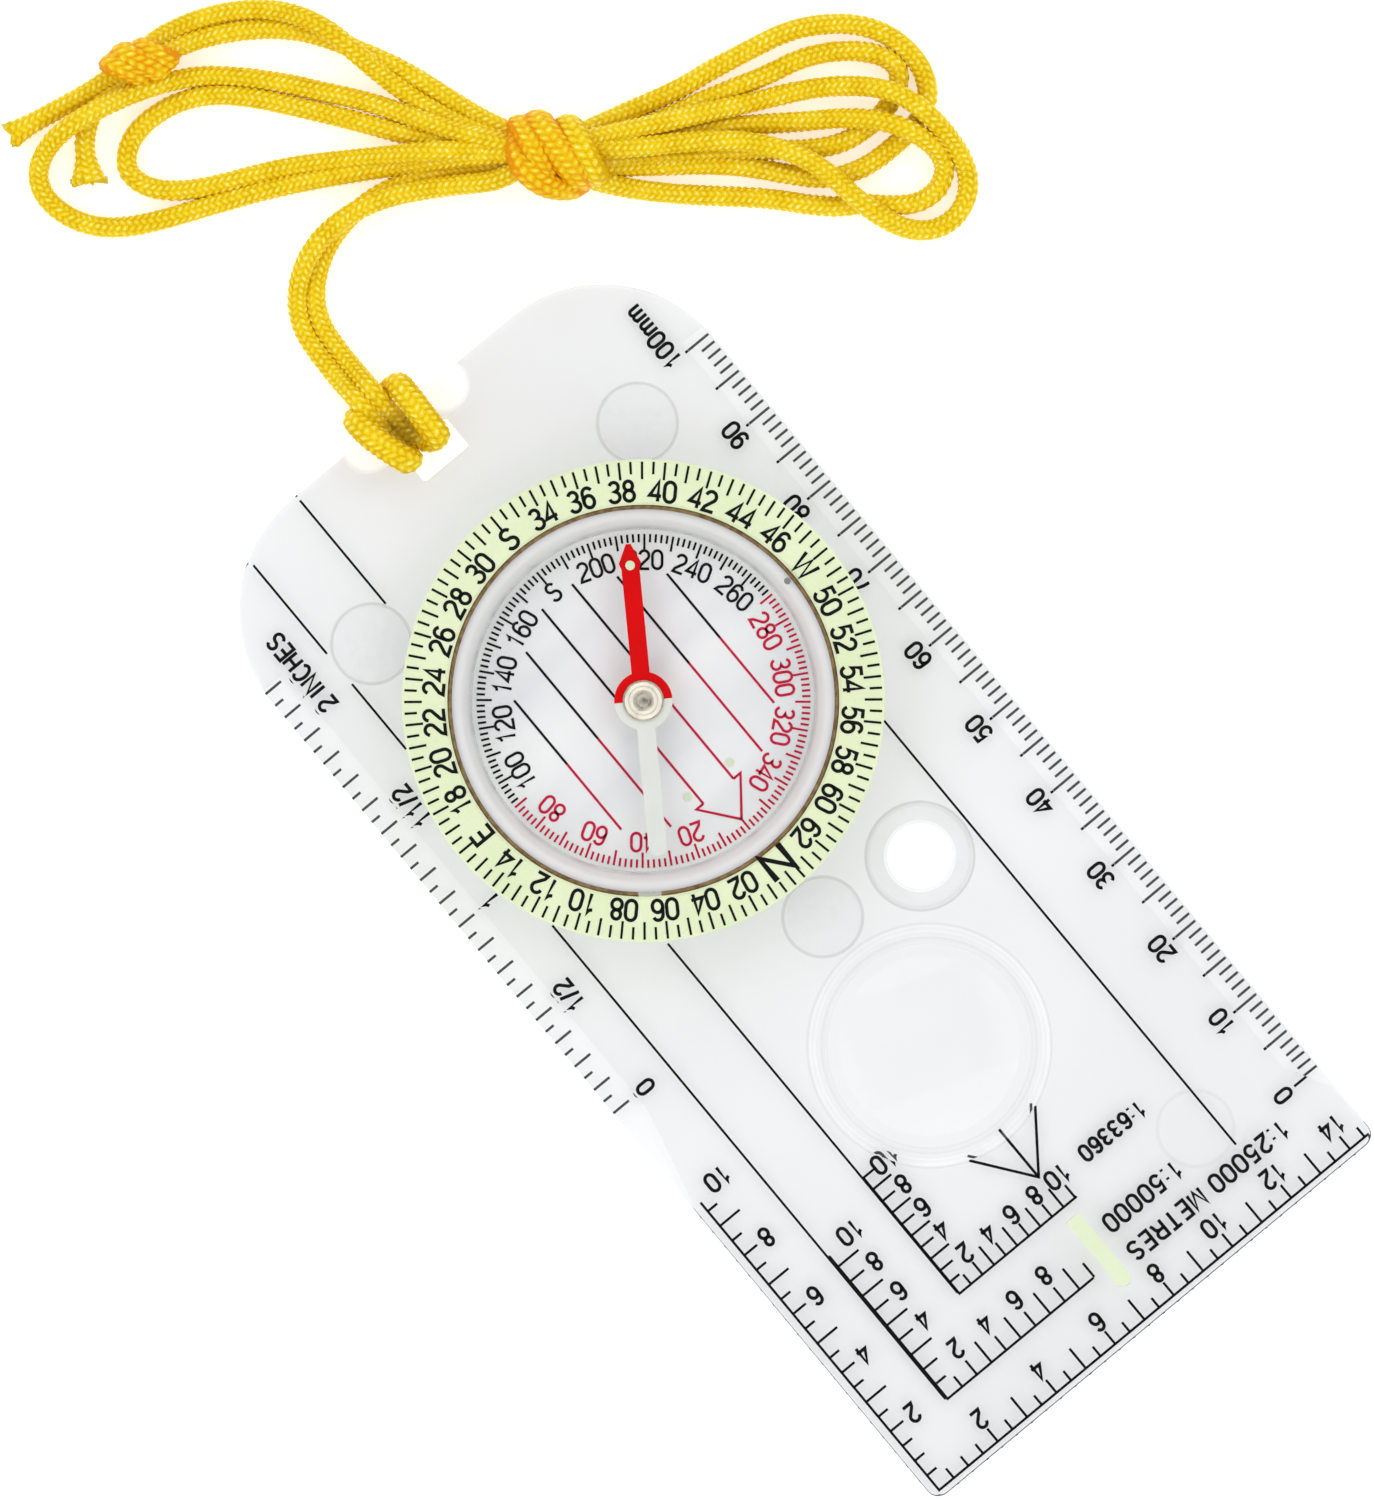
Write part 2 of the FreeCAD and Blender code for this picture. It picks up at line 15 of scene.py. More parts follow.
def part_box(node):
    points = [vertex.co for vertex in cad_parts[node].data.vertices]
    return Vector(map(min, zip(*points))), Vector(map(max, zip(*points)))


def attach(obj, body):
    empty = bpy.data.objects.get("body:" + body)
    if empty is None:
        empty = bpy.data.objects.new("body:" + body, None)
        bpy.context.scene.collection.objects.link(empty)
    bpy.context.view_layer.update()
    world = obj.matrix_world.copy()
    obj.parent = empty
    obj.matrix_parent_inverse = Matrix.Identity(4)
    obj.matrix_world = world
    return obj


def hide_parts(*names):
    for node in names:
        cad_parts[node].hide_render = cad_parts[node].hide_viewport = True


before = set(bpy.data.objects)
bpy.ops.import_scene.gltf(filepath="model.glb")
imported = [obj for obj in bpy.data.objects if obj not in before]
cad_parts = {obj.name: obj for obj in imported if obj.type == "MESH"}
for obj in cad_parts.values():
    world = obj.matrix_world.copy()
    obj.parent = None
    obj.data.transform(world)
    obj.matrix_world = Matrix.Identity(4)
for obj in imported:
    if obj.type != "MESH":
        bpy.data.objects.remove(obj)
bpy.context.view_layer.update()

LOG = logging.getLogger("compass")
MM = 0.001
DIAL_X, DIAL_Y = 0.0, -22.2
BEVEL_LOW, BEVEL_HIGH = 17.7, 20.5      # radii of the lid's polished bevel
# Greys across the lid's bevel, inner to outer radius: bands of painted highlight and painted shade.
BEVEL_PAINTED_BANDS = ((0.0, 0.32), (0.1, 0.32), (0.2, 0.62), (0.5, 0.86), (0.66, 0.74), (0.78, 0.40), (1.0, 0.55))
Point = tuple[float, float, float]
Flat = tuple[float, float]
Tree = bpy.types.NodeTree
Socket = bpy.types.NodeSocket
Piece = bpy.types.Object


# ---------------------------------------------------------------- node helpers


def add(tree: Tree, kind: str, inputs: dict | None = None, **settings) -> bpy.types.Node:
    """Adds one node.

    Args:
        tree: the tree that gets the node.
        kind: the node's type name.
        inputs: a value or an output socket for each input, by name or place.
        settings: the node's own settings.

    Returns:
        The new node.
    """
    made = tree.nodes.new(kind)
    for key, value in settings.items():
        setattr(made, key, value)
    for key, value in (inputs or {}).items():
        if isinstance(value, Socket):
            tree.links.new(value, made.inputs[key])
        else:
            made.inputs[key].default_value = value
    return made


def maths(tree: Tree, operation: str, *values) -> Socket:
    """Adds one Math node.

    Args:
        tree: the tree that gets the node.
        operation: the sum to do.
        values: numbers or sockets, in order.

    Returns:
        Its output socket.
    """
    made = add(tree, "ShaderNodeMath", dict(enumerate(values)), operation=operation)
    return made.outputs[0]


def noise(tree: Tree, scale: float, detail: float = 3.0, stretch: Point = (1, 1, 1)) -> Socket:
    """Noise over the object's own coordinates.

    Args:
        tree: the material's tree.
        scale: cells to the metre.
        detail: octaves.
        stretch: scale of each axis.

    Returns:
        The noise's value socket, about 0 to 1.
    """
    where = add(tree, "ShaderNodeTexCoord").outputs["Object"]
    placed = add(tree, "ShaderNodeMapping", {"Vector": where, "Scale": stretch})
    return add(tree, "ShaderNodeTexNoise", {"Vector": placed.outputs[0], "Scale": scale, "Detail": detail}).outputs[0]


def far_from(tree: Tree, x: float, y: float) -> Socket:
    """Level distance from an upright axis.

    Args:
        tree: the material's tree.
        x: the axis's X in millimetres.
        y: its Y.

    Returns:
        The distance's socket, in metres.
    """
    where = add(tree, "ShaderNodeTexCoord").outputs["Object"]
    flat = {"Vector": where, "Location": (-x * MM, -y * MM, 0.0), "Scale": (1, 1, 0)}
    moved = add(tree, "ShaderNodeMapping", flat).outputs[0]
    return add(tree, "ShaderNodeVectorMath", {0: moved}, operation="LENGTH").outputs["Value"]


def ramp(tree: Tree, source: Socket, stops: list[tuple[float, Point]]) -> Socket:
    """Colours along a value.

    Args:
        tree: the material's tree.
        source: the value, 0 to 1.
        stops: each stop's place and colour, in order.

    Returns:
        The colour socket.
    """
    made = add(tree, "ShaderNodeValToRGB", {0: source})
    points = made.color_ramp.elements
    while len(points) < len(stops):
        points.new(0.5)
    for point, (place, colour) in zip(points, stops):
        point.position = place
        point.color = (*colour, 1)
    return made.outputs[0]


def spread(tree: Tree, source: Socket, low: float, high: float) -> Socket:
    """Moves a noise value of about 0.3 to 0.7 to lie between low and high, and returns its socket."""
    return add(tree, "ShaderNodeMapRange", {0: source, 1: 0.3, 2: 0.7, 3: low, 4: high}).outputs[0]


def bump(
    tree: Tree, height: Socket, distance: float, strength: float = 1.0, under: Socket | None = None,
) -> Socket:
    """A bump of a height in metres.

    Args:
        tree: the material's tree.
        height: the height's socket.
        distance: metres that a height of 1 stands for.
        strength: share of the bump that shows.
        under: the normal socket of a bump below this one.

    Returns:
        The normal socket.
    """
    inputs = {"Height": height, "Distance": distance, "Strength": strength}
    if under is not None:
        inputs["Normal"] = under
    return add(tree, "ShaderNodeBump", inputs).outputs[0]


def clear_way(tree: Tree, passes: float) -> Socket:
    """A shader that lets a share of the light straight through, and returns its socket."""
    return add(tree, "ShaderNodeBsdfTransparent", {0: (passes, passes, passes, 1)}).outputs[0]


# ---------------------------------------------------------------- finishes


@dataclass(frozen=True)
class Finish:
    """A named finish; each kind below draws its own nodes."""

    name: str

    def surface(self, tree: Tree) -> Socket:
        """Draws the nodes and returns the shader socket."""
        raise NotImplementedError

    def build(self) -> bpy.types.Material:
        """Makes the material once and returns it."""
        known = bpy.data.materials.get(self.name)
        if known is not None:
            return known
        made = bpy.data.materials.new(self.name)
        made.use_nodes = True
        made.node_tree.nodes.clear()
        shader = self.surface(made.node_tree)
        add(made.node_tree, "ShaderNodeOutputMaterial", {"Surface": shader})
        return made


@dataclass(frozen=True)
class ClearPlastic(Finish):
    """Moulded clear plastic that lets lamps through to what lies under it."""

    tint: Point = (0.985, 0.99, 0.995)
    passes: float = 0.965
    roughness: float = 0.02
    ior: float = 1.49
    ripple: float = 1.2e-5
    ripple_scale: float = 90.0
    haze: float = 0.0
    milk: float = 0.93
    frost_beyond: float = 0.0
    frost: float = 0.0
    # Rings of painted highlight and painted shade: each makes the tint lighter or darker round a centre.
    rings: tuple[tuple[float, float, float, float, float], ...] = ()

    def shade(self, tree: Tree) -> Socket | tuple[float, float, float, float]:
        """Tint of the plastic, lighter or darker in its rings (painted highlight and painted shade), cloudy, and a
        little darker toward the front as painted shade.

        Args:
            tree: the material's tree.

        Returns:
            The tint, or its socket. Each ring is (x, y, radius, half width, tone), in millimetres.
        """
        if not self.rings:
            return (*self.tint, 1)
        tone: float | Socket = 1.0
        for x, y, radius, half, ring_painted_tone in self.rings:
            off = maths(tree, "ABSOLUTE", maths(tree, "SUBTRACT", far_from(tree, x, y), radius * MM))
            fade = {0: off, 1: half * 0.75 * MM, 2: half * MM, 3: 1.0, 4: 0.0}
            spot = add(tree, "ShaderNodeMapRange", fade).outputs[0]
            tone = add(tree, "ShaderNodeMix", {0: spot, 2: tone, 3: ring_painted_tone}).outputs[0]
        cloudy = spread(tree, noise(tree, 42.0, 2.0), 0.97, 1.025)
        where = add(tree, "ShaderNodeTexCoord").outputs["Object"]
        along = add(tree, "ShaderNodeSeparateXYZ", {0: where}).outputs["Y"]
        # Painted shade: the plate's tint grows a little darker toward its front end.
        front = add(tree, "ShaderNodeMapRange", {0: along, 1: 34 * MM, 2: 62 * MM, 3: 1.0, 4: 0.965}).outputs[0]
        tone = maths(tree, "MULTIPLY", tone, maths(tree, "MULTIPLY", cloudy, front))
        plain = add(tree, "ShaderNodeCombineXYZ", dict(enumerate(self.tint))).outputs[0]
        return add(tree, "ShaderNodeVectorMath", {0: plain, "Scale": tone}, operation="SCALE").outputs[0]

    def surface(self, tree: Tree) -> Socket:
        """Glass with moulding ripple, fine rubs in the gloss, a clear way for lamps, and where frosted a milk painted
        in light and dark bands.
        """
        wave = noise(tree, self.ripple_scale, 2.0)
        rubs = noise(tree, 900.0, 3.0, (1.0, 0.15, 1.0))
        normal = bump(tree, rubs, 1.5e-6, 0.12, bump(tree, wave, self.ripple))
        gloss = spread(tree, noise(tree, 260.0, 4.0), self.roughness * 0.6, self.roughness * 1.5)
        haze = self.haze
        if self.frost:
            far = far_from(tree, DIAL_X, DIAL_Y)
            edge = self.frost_beyond * MM
            band = add(tree, "ShaderNodeMapRange", {0: far, 1: edge - 0.1 * MM, 2: edge + 0.1 * MM}).outputs[0]
            gloss = maths(tree, "ADD", gloss, maths(tree, "MULTIPLY", band, 0.32))
            haze = maths(tree, "MULTIPLY", band, self.frost)
        glass = add(tree, "ShaderNodeBsdfPrincipled", {
            "Base Color": self.shade(tree), "Roughness": gloss, "IOR": self.ior,
            "Transmission Weight": 1.0, "Normal": normal,
        }).outputs[0]
        if self.haze or self.frost:
            white = (self.milk, self.milk, self.milk * 1.01, 1)
            if self.frost:
                # Painted highlight and painted shade: across the bevel the milk's grey rises and falls in bands.
                place = add(tree, "ShaderNodeMapRange", {0: far, 1: BEVEL_LOW * MM, 2: BEVEL_HIGH * MM}).outputs[0]
                white = ramp(tree, place, [(at, (tone, tone, tone)) for at, tone in BEVEL_PAINTED_BANDS])
            cloud = {"Base Color": white, "Roughness": 0.4, "Normal": normal}
            milk = add(tree, "ShaderNodeBsdfPrincipled", cloud).outputs[0]
            glass = add(tree, "ShaderNodeMixShader", {0: haze, 1: glass, 2: milk}).outputs[0]
        path = add(tree, "ShaderNodeLightPath")
        open_way = maths(tree, "MAXIMUM", path.outputs["Is Shadow Ray"], path.outputs["Is Diffuse Ray"])
        return add(tree, "ShaderNodeMixShader", {0: open_way, 1: glass, 2: clear_way(tree, self.passes)}).outputs[0]


@dataclass(frozen=True)
class ThinClear(Finish):
    """Soft clear rubber pressed into a pocket: nearly invisible but for its specks."""

    passes: float = 0.992
    cover: float = 0.03

    def surface(self, tree: Tree) -> Socket:
        """A clear way with a little white, more of it in its specks."""
        specks = noise(tree, 1100.0, 4.0)
        share = spread(tree, specks, self.cover * 0.6, self.cover * 1.4)
        body = add(tree, "ShaderNodeBsdfPrincipled", {
            "Base Color": (0.86, 0.87, 0.89, 1), "Roughness": 0.6, "Normal": bump(tree, specks, 1e-5),
        }).outputs[0]
        return add(tree, "ShaderNodeMixShader", {0: share, 1: clear_way(tree, self.passes), 2: body}).outputs[0]


@dataclass(frozen=True)
class FrostedDisc(Finish):
    """The capsule's thin printed disc: milky white with soft streaks across it."""

    def surface(self, tree: Tree) -> Socket:
        """Matt white, cloudier in the streaks."""
        streak = noise(tree, 60.0, 2.0, (0.5, 2.6, 1.0))
        grain = noise(tree, 2600.0, 2.0)
        greys = [(0.0, (0.79, 0.795, 0.82)), (0.5, (0.89, 0.895, 0.91)), (1.0, (0.95, 0.95, 0.96))]
        tone = ramp(tree, spread(tree, streak, 0.0, 1.0), greys)
        return add(tree, "ShaderNodeBsdfPrincipled", {
            "Base Color": tone, "Roughness": spread(tree, grain, 0.35, 0.5), "Normal": bump(tree, grain, 4e-6),
            "Subsurface Weight": 0.2, "Subsurface Radius": (0.001, 0.001, 0.001), "Subsurface Scale": 0.4,
        }).outputs[0]


@dataclass(frozen=True)
class Ink(Finish):
    """Printed ink: a thin film with slightly uneven cover."""

    colour: Point = (0.004, 0.004, 0.005)
    worn: Point = (0.025, 0.025, 0.028)

    def surface(self, tree: Tree) -> Socket:
        """Dark film, a little thinner in small specks."""
        specks = noise(tree, 5200.0, 3.0)
        tone = ramp(tree, specks, [(0.35, self.colour), (0.6, self.colour), (0.75, self.worn)])
        return add(tree, "ShaderNodeBsdfPrincipled", {
            "Base Color": tone, "Roughness": spread(tree, specks, 0.45, 0.7), "Specular IOR Level": 0.12,
            "Normal": bump(tree, specks, 6e-6),
        }).outputs[0]


@dataclass(frozen=True)
class Moulded(Finish):
    """Solid moulded plastic or paint: cloudy colour, fine grain and a few rubs."""

    colour: Point = (0.8, 0.8, 0.8)
    cloud: Point = (0.7, 0.7, 0.7)
    roughness: float = 0.35
    grain: float = 8e-6
    grain_scale: float = 3200.0
    glow: float = 0.0
    gloss: float = 0.3

    def surface(self, tree: Tree) -> Socket:
        """Two tones by slow noise, grain by fine noise."""
        slow, fine = noise(tree, 140.0, 4.0), noise(tree, self.grain_scale, 3.0)
        mixed = maths(tree, "ADD", maths(tree, "MULTIPLY", slow, 0.7), maths(tree, "MULTIPLY", fine, 0.3))
        tone = ramp(tree, mixed, [(0.36, self.cloud), (0.62, self.colour)])
        inputs = {
            "Base Color": tone, "Roughness": spread(tree, fine, self.roughness - 0.06, self.roughness + 0.08),
            "Normal": bump(tree, fine, self.grain), "Specular IOR Level": self.gloss,
        }
        if self.glow:
            inputs |= {
                "Subsurface Weight": self.glow, "Subsurface Radius": (0.001, 0.001, 0.0006), "Subsurface Scale": 0.6,
            }
        return add(tree, "ShaderNodeBsdfPrincipled", inputs).outputs[0]


@dataclass(frozen=True)
class TurnedMetal(Finish):
    """Metal turned on a lathe, with fine rings about its own centre."""

    colour: Point = (0.8, 0.8, 0.8)
    dull: Point = (0.6, 0.6, 0.6)
    roughness: float = 0.2
    centre: Flat = (0.0, 0.0)
    rings: float = 9000.0
    groove: float = 3e-6

    def surface(self, tree: Tree) -> Socket:
        """Lathe rings by the distance from the centre, and tarnish by noise."""
        turned = maths(tree, "SINE", maths(tree, "MULTIPLY", far_from(tree, *self.centre), self.rings * math.tau / 4))
        spots = noise(tree, 1500.0, 4.0)
        tone = ramp(tree, spots, [(0.35, self.dull), (0.6, self.colour)])
        return add(tree, "ShaderNodeBsdfPrincipled", {
            "Base Color": tone, "Metallic": 1.0, "Roughness": spread(tree, spots, self.roughness, self.roughness + 0.15),
            "Normal": bump(tree, turned, self.groove, 0.5, bump(tree, spots, 3e-6)),
        }).outputs[0]


@dataclass(frozen=True)
class Braid(Finish):
    """Braided cord: the mesh's own weave height colours crowns with a painted highlight and valleys with painted
    shade, fibres run in the UV map.
    """

    # The valley colour is painted shade in the braid's hollows; the crown colour is a painted highlight.
    valley: Point = (0.70, 0.42, 0.0)
    body: Point = (0.91, 0.65, 0.006)
    crown: Point = (1.0, 0.95, 0.3)

    def surface(self, tree: Tree) -> Socket:
        """Valleys painted darker and more orange as shade, crowns painted bright as highlight, with fine fibres and
        sheen.
        """
        weave = add(tree, "ShaderNodeAttribute", attribute_name="weave").outputs["Fac"]
        place = add(tree, "ShaderNodeUVMap", uv_map="strand").outputs[0]
        fibre = add(tree, "ShaderNodeTexNoise", {"Vector": place, "Scale": 26.0, "Detail": 3.0}).outputs[0]
        patch = noise(tree, 420.0, 3.0)
        uneven = maths(tree, "ADD", spread(tree, fibre, -0.16, 0.16), spread(tree, patch, -0.12, 0.12))
        tint = maths(tree, "ADD", weave, uneven)
        tone = ramp(tree, tint, [(0.0, self.valley), (0.26, self.body), (0.5, self.body), (0.86, self.crown)])
        return add(tree, "ShaderNodeBsdfPrincipled", {
            "Base Color": tone, "Roughness": spread(tree, fibre, 0.38, 0.55), "Specular IOR Level": 0.25,
            "Specular Tint": (1.0, 0.88, 0.45, 1),
            "Normal": bump(tree, fibre, 5e-5, 0.7),
        }).outputs[0]


@dataclass(frozen=True)
class StudioFloor(Finish):
    """The pale light table that the compass lies on."""

    glow: float = 0.49

    def surface(self, tree: Tree) -> Socket:
        """Near-white matt paper with a trace of tooth."""
        tooth = noise(tree, 700.0, 2.0)
        tone = ramp(tree, tooth, [(0.3, (0.779, 0.779, 0.779)), (0.7, (0.782, 0.782, 0.782))])
        return add(tree, "ShaderNodeBsdfPrincipled", {
            "Base Color": tone, "Roughness": 0.9, "Specular IOR Level": 0.0,
            "Emission Color": (1.0, 1.0, 1.0, 1), "Emission Strength": self.glow,
        }).outputs[0]


class Look(Enum):
    """Every finish on the compass, by the part's own words."""

    PLATE = ClearPlastic("plate_clear", (0.76, 0.765, 0.775), 0.96, 0.012, ripple=2e-5, ripple_scale=40.0, rings=(
        # Painted highlight and painted shade round the bar's hollows, the stencil hole, the lens and the feet,
        # standing in for their bent light.
        (-4.9, -61.1, 0.0, 3.05, 1.26), (5.2, -61.1, 0.0, 3.0, 1.26),                                  # hollows by the bar
        (-11.9, 8.8, 4.5, 1.2, 0.9), (-11.9, 8.8, 3.6, 0.25, 1.06), (-11.9, 8.8, 5.65, 0.2, 0.8),      # stencil hole
        (0.0, 24.7, 11.9, 1.0, 0.99), (0.0, 24.7, 11.05, 0.4, 0.93), (0.0, 24.7, 12.75, 0.2, 0.93),    # lens
        (0.0, 7.2, 0.0, 4.3, 1.03), (18.1, -45.0, 0.0, 4.3, 1.03), (-18.1, -45.0, 0.0, 4.3, 1.03),     # feet
        (0.0, 7.2, 4.2, 0.18, 0.82), (18.1, -45.0, 4.2, 0.18, 0.82), (-18.1, -45.0, 4.2, 0.18, 0.82),  # their rims
        (-15.9, 49.2, 4.0, 0.22, 0.95),                                                                # moulding mark
    ))
    LID = ClearPlastic("lid_clear", (0.985, 0.987, 0.995), 0.99, 0.012, 1.45, 4e-6, 140.0, frost_beyond=17.85, frost=0.42)
    DISH = ClearPlastic("dish_clear", (0.98, 0.982, 0.99), 0.98, 0.02, 1.45, 6e-6, 140.0, 0.6, 0.56)
    FOOT = ThinClear("foot_silicone")
    DISC = FrostedDisc("disc_frosted")
    BLACK = Ink("ink_black")
    RED = Ink("ink_red", (0.58, 0.008, 0.05), (0.66, 0.08, 0.14))
    DIAL = Moulded("dial_luminous", (0.78, 0.86, 0.585), (0.72, 0.81, 0.52), 0.42, 7e-6, 2600.0, 0.15)
    INDEX = Moulded("index_luminous", (0.78, 0.87, 0.63), (0.72, 0.81, 0.57), 0.5, 1.2e-5, 4200.0, gloss=0.1)
    NEEDLE_RED = Moulded("needle_red", (0.76, 0.001, 0.002), (0.66, 0.001, 0.002), 0.5, 4e-6, 3600.0, gloss=0.04)
    NEEDLE_WHITE = Moulded("needle_white", (0.80, 0.82, 0.77), (0.74, 0.77, 0.70), 0.4, 5e-6, 3600.0, 0.15)
    PLUG = Moulded("plug_dark", (0.22, 0.23, 0.24), (0.16, 0.17, 0.18), 0.5)
    WIRE = TurnedMetal("wire_bronze", (0.56, 0.38, 0.22), (0.36, 0.22, 0.12), 0.3)
    BRASS = TurnedMetal("pivot_brass", (0.80, 0.60, 0.32), (0.62, 0.44, 0.2), 0.22, (DIAL_X, DIAL_Y))
    STEEL = TurnedMetal("needle_steel", (0.62, 0.62, 0.64), (0.45, 0.45, 0.47), 0.25, (DIAL_X, DIAL_Y))
    NICKEL = TurnedMetal("cap_nickel", (0.82, 0.78, 0.66), (0.72, 0.68, 0.56), 0.24, (DIAL_X, DIAL_Y), 5200.0, 1.4e-5)
    JEWEL = ClearPlastic("jewel_pale", (0.90, 0.84, 0.80), 0.9, 0.02, 1.7, 2e-6, 400.0)
    CORD = Braid("cord_yellow")
    # Knot turns: deep orange painted shade in their valleys and a painted highlight on their crowns.
    TIGHT = Braid("cord_knot_painted_shade", (0.80, 0.29, 0.0), (0.86, 0.56, 0.001), (1.0, 0.86, 0.12))
    FLOOR = StudioFloor("studio_paper")

    def material(self) -> bpy.types.Material:
        """The finish as a material."""
        return self.value.build()


class Body(Enum):
    """The three bodies that pieces ride on."""

    BASE = "base"
    DIAL = "dial"
    NEEDLE = "needle"


# ---------------------------------------------------------------- meshes


def piece_from(name: str, points: np.ndarray, faces: list, look: Look, smooth: bool = False) -> Piece:
    """Makes a mesh piece at the origin.

    Args:
        name: the piece's name.
        points: vertices in metres.
        faces: vertex numbers of each face.
        look: its finish.
        smooth: True to shade it smooth.

    Returns:
        The new object.
    """
    mesh = bpy.data.meshes.new(name)
    mesh.from_pydata([tuple(p) for p in points], [], faces)
    mesh.materials.append(look.material())
    mesh.polygons.foreach_set("use_smooth", [smooth] * len(mesh.polygons))
    mesh.update()
    made = bpy.data.objects.new(name, mesh)
    bpy.context.scene.collection.objects.link(made)
    return made


def keep(piece: Piece, body: Body) -> Piece:
    """Sets a finished piece riding and logs it.

    Args:
        piece: the piece.
        body: the body it rides on.

    Returns:
        The piece.
    """
    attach(piece, body.value)
    LOG.info("%s: %d faces", piece.name, len(piece.data.polygons))
    return piece


# ---------------------------------------------------------------- lettering

Stroke = list[tuple[float, ...]]
DIGIT_W = 0.58
GLYPHS: dict[str, tuple[float, list[Stroke]]] = {
    "0": (DIGIT_W, [[(0.29, 0.70, 0.26, 0.29, 0, 180), (0.29, 0.30, 0.26, 0.29, 180, 360), (0.55, 0.70)]]),
    "1": (DIGIT_W, [[(0.12, 0.76), (0.22, 0.79), (0.31, 0.86), (0.35, 0.99), (0.35, 0.0)]]),
    "2": (DIGIT_W, [[(0.29, 0.73, 0.25, 0.26, 170, -38), (0.10, 0.20), (0.03, 0.01), (0.56, 0.01)]]),
    "3": (DIGIT_W, [[(0.28, 0.76, 0.22, 0.23, 160, -90), (0.28, 0.27, 0.26, 0.26, 90, -160)]]),
    "4": (DIGIT_W, [[(0.43, 0.0), (0.43, 0.97), (0.02, 0.27), (0.58, 0.27)]]),
    "5": (DIGIT_W, [[(0.51, 0.98), (0.14, 0.98), (0.08, 0.52), (0.28, 0.32, 0.26, 0.31, 135, -155)]]),
    "6": (DIGIT_W, [[(0.30, 0.72, 0.24, 0.27, 25, 180), (0.29, 0.31, 0.25, 0.30, 180, 540)]]),
    "7": (DIGIT_W, [[(0.03, 0.98), (0.55, 0.98), (0.37, 0.65), (0.26, 0.33), (0.21, 0.0)]]),
    "8": (DIGIT_W, [[(0.29, 0.755, 0.21, 0.23, -90, 270), (0.29, 0.27, 0.25, 0.26, 90, 450)]]),
    "N": (0.66, [[(0.05, 0.0), (0.05, 1.0), (0.61, 0.0), (0.61, 1.0)]]),
    "E": (0.58, [[(0.55, 0.0), (0.05, 0.0), (0.05, 1.0), (0.55, 1.0)], [(0.05, 0.53), (0.50, 0.53)]]),
    "S": (0.60, [[(0.30, 0.755, 0.24, 0.235, 20, 270), (0.30, 0.265, 0.27, 0.255, 90, -160)]]),
    "W": (0.90, [[(0.02, 1.0), (0.23, 0.0), (0.45, 0.97), (0.67, 0.0), (0.88, 1.0)]]),
    "M": (0.76, [[(0.05, 0.0), (0.05, 1.0), (0.38, 0.04), (0.71, 1.0), (0.71, 0.0)]]),
    "T": (0.60, [[(0.02, 1.0), (0.58, 1.0)], [(0.30, 1.0), (0.30, 0.0)]]),
    "R": (0.64, [[(0.05, 0.0), (0.05, 1.0), (0.32, 1.0), (0.32, 0.745, 0.25, 0.255, 90, -90), (0.05, 0.49)],
                 [(0.34, 0.49), (0.50, 0.38), (0.56, 0.12), (0.61, 0.0)]]),
    "I": (0.20, [[(0.10, 0.0), (0.10, 1.0)]]),
    "C": (0.66, [[(0.35, 0.5, 0.30, 0.50, 42, 318)]]),
    "H": (0.64, [[(0.05, 0.0), (0.05, 1.0)], [(0.59, 0.0), (0.59, 1.0)], [(0.05, 0.53), (0.59, 0.53)]]),
    "m": (0.80, [[(0.05, 0.0), (0.05, 0.72)], [(0.05, 0.52), (0.22, 0.54, 0.17, 0.17, 170, 0), (0.39, 0.0)],
                 [(0.39, 0.52), (0.56, 0.54, 0.17, 0.17, 170, 0), (0.73, 0.0)]]),
    ":": (0.18, [[(0.09, 0.0), (0.09, 0.13)], [(0.09, 0.57), (0.09, 0.70)]]),
    "/": (0.36, [[(0.0, -0.04), (0.34, 1.04)]]),
    " ": (0.20, []),
}
GLYPHS["9"] = (DIGIT_W, [[(0.28, 0.28, 0.24, 0.27, 205, 360), (0.29, 0.69, 0.25, 0.30, 0, 360)]])
GAP = 0.16


def stroke_points(stroke: Stroke, step: float = 18.0) -> list[Flat]:
    """Turns a stroke of points and arcs into points.

    Args:
        stroke: (x, y) points, and (cx, cy, rx, ry, start, end) arcs in degrees.
        step: degrees between an arc's points.

    Returns:
        The points in order.
    """
    made: list[Flat] = []
    for item in stroke:
        if len(item) == 2:
            made.append((item[0], item[1]))
            continue
        cx, cy, rx, ry, start, end = item
        count = max(2, round(abs(end - start) / step))
        for i in range(count + 1):
            a = math.radians(start + (end - start) * i / count)
            made.append((cx + rx * math.cos(a), cy + ry * math.sin(a)))
    return made


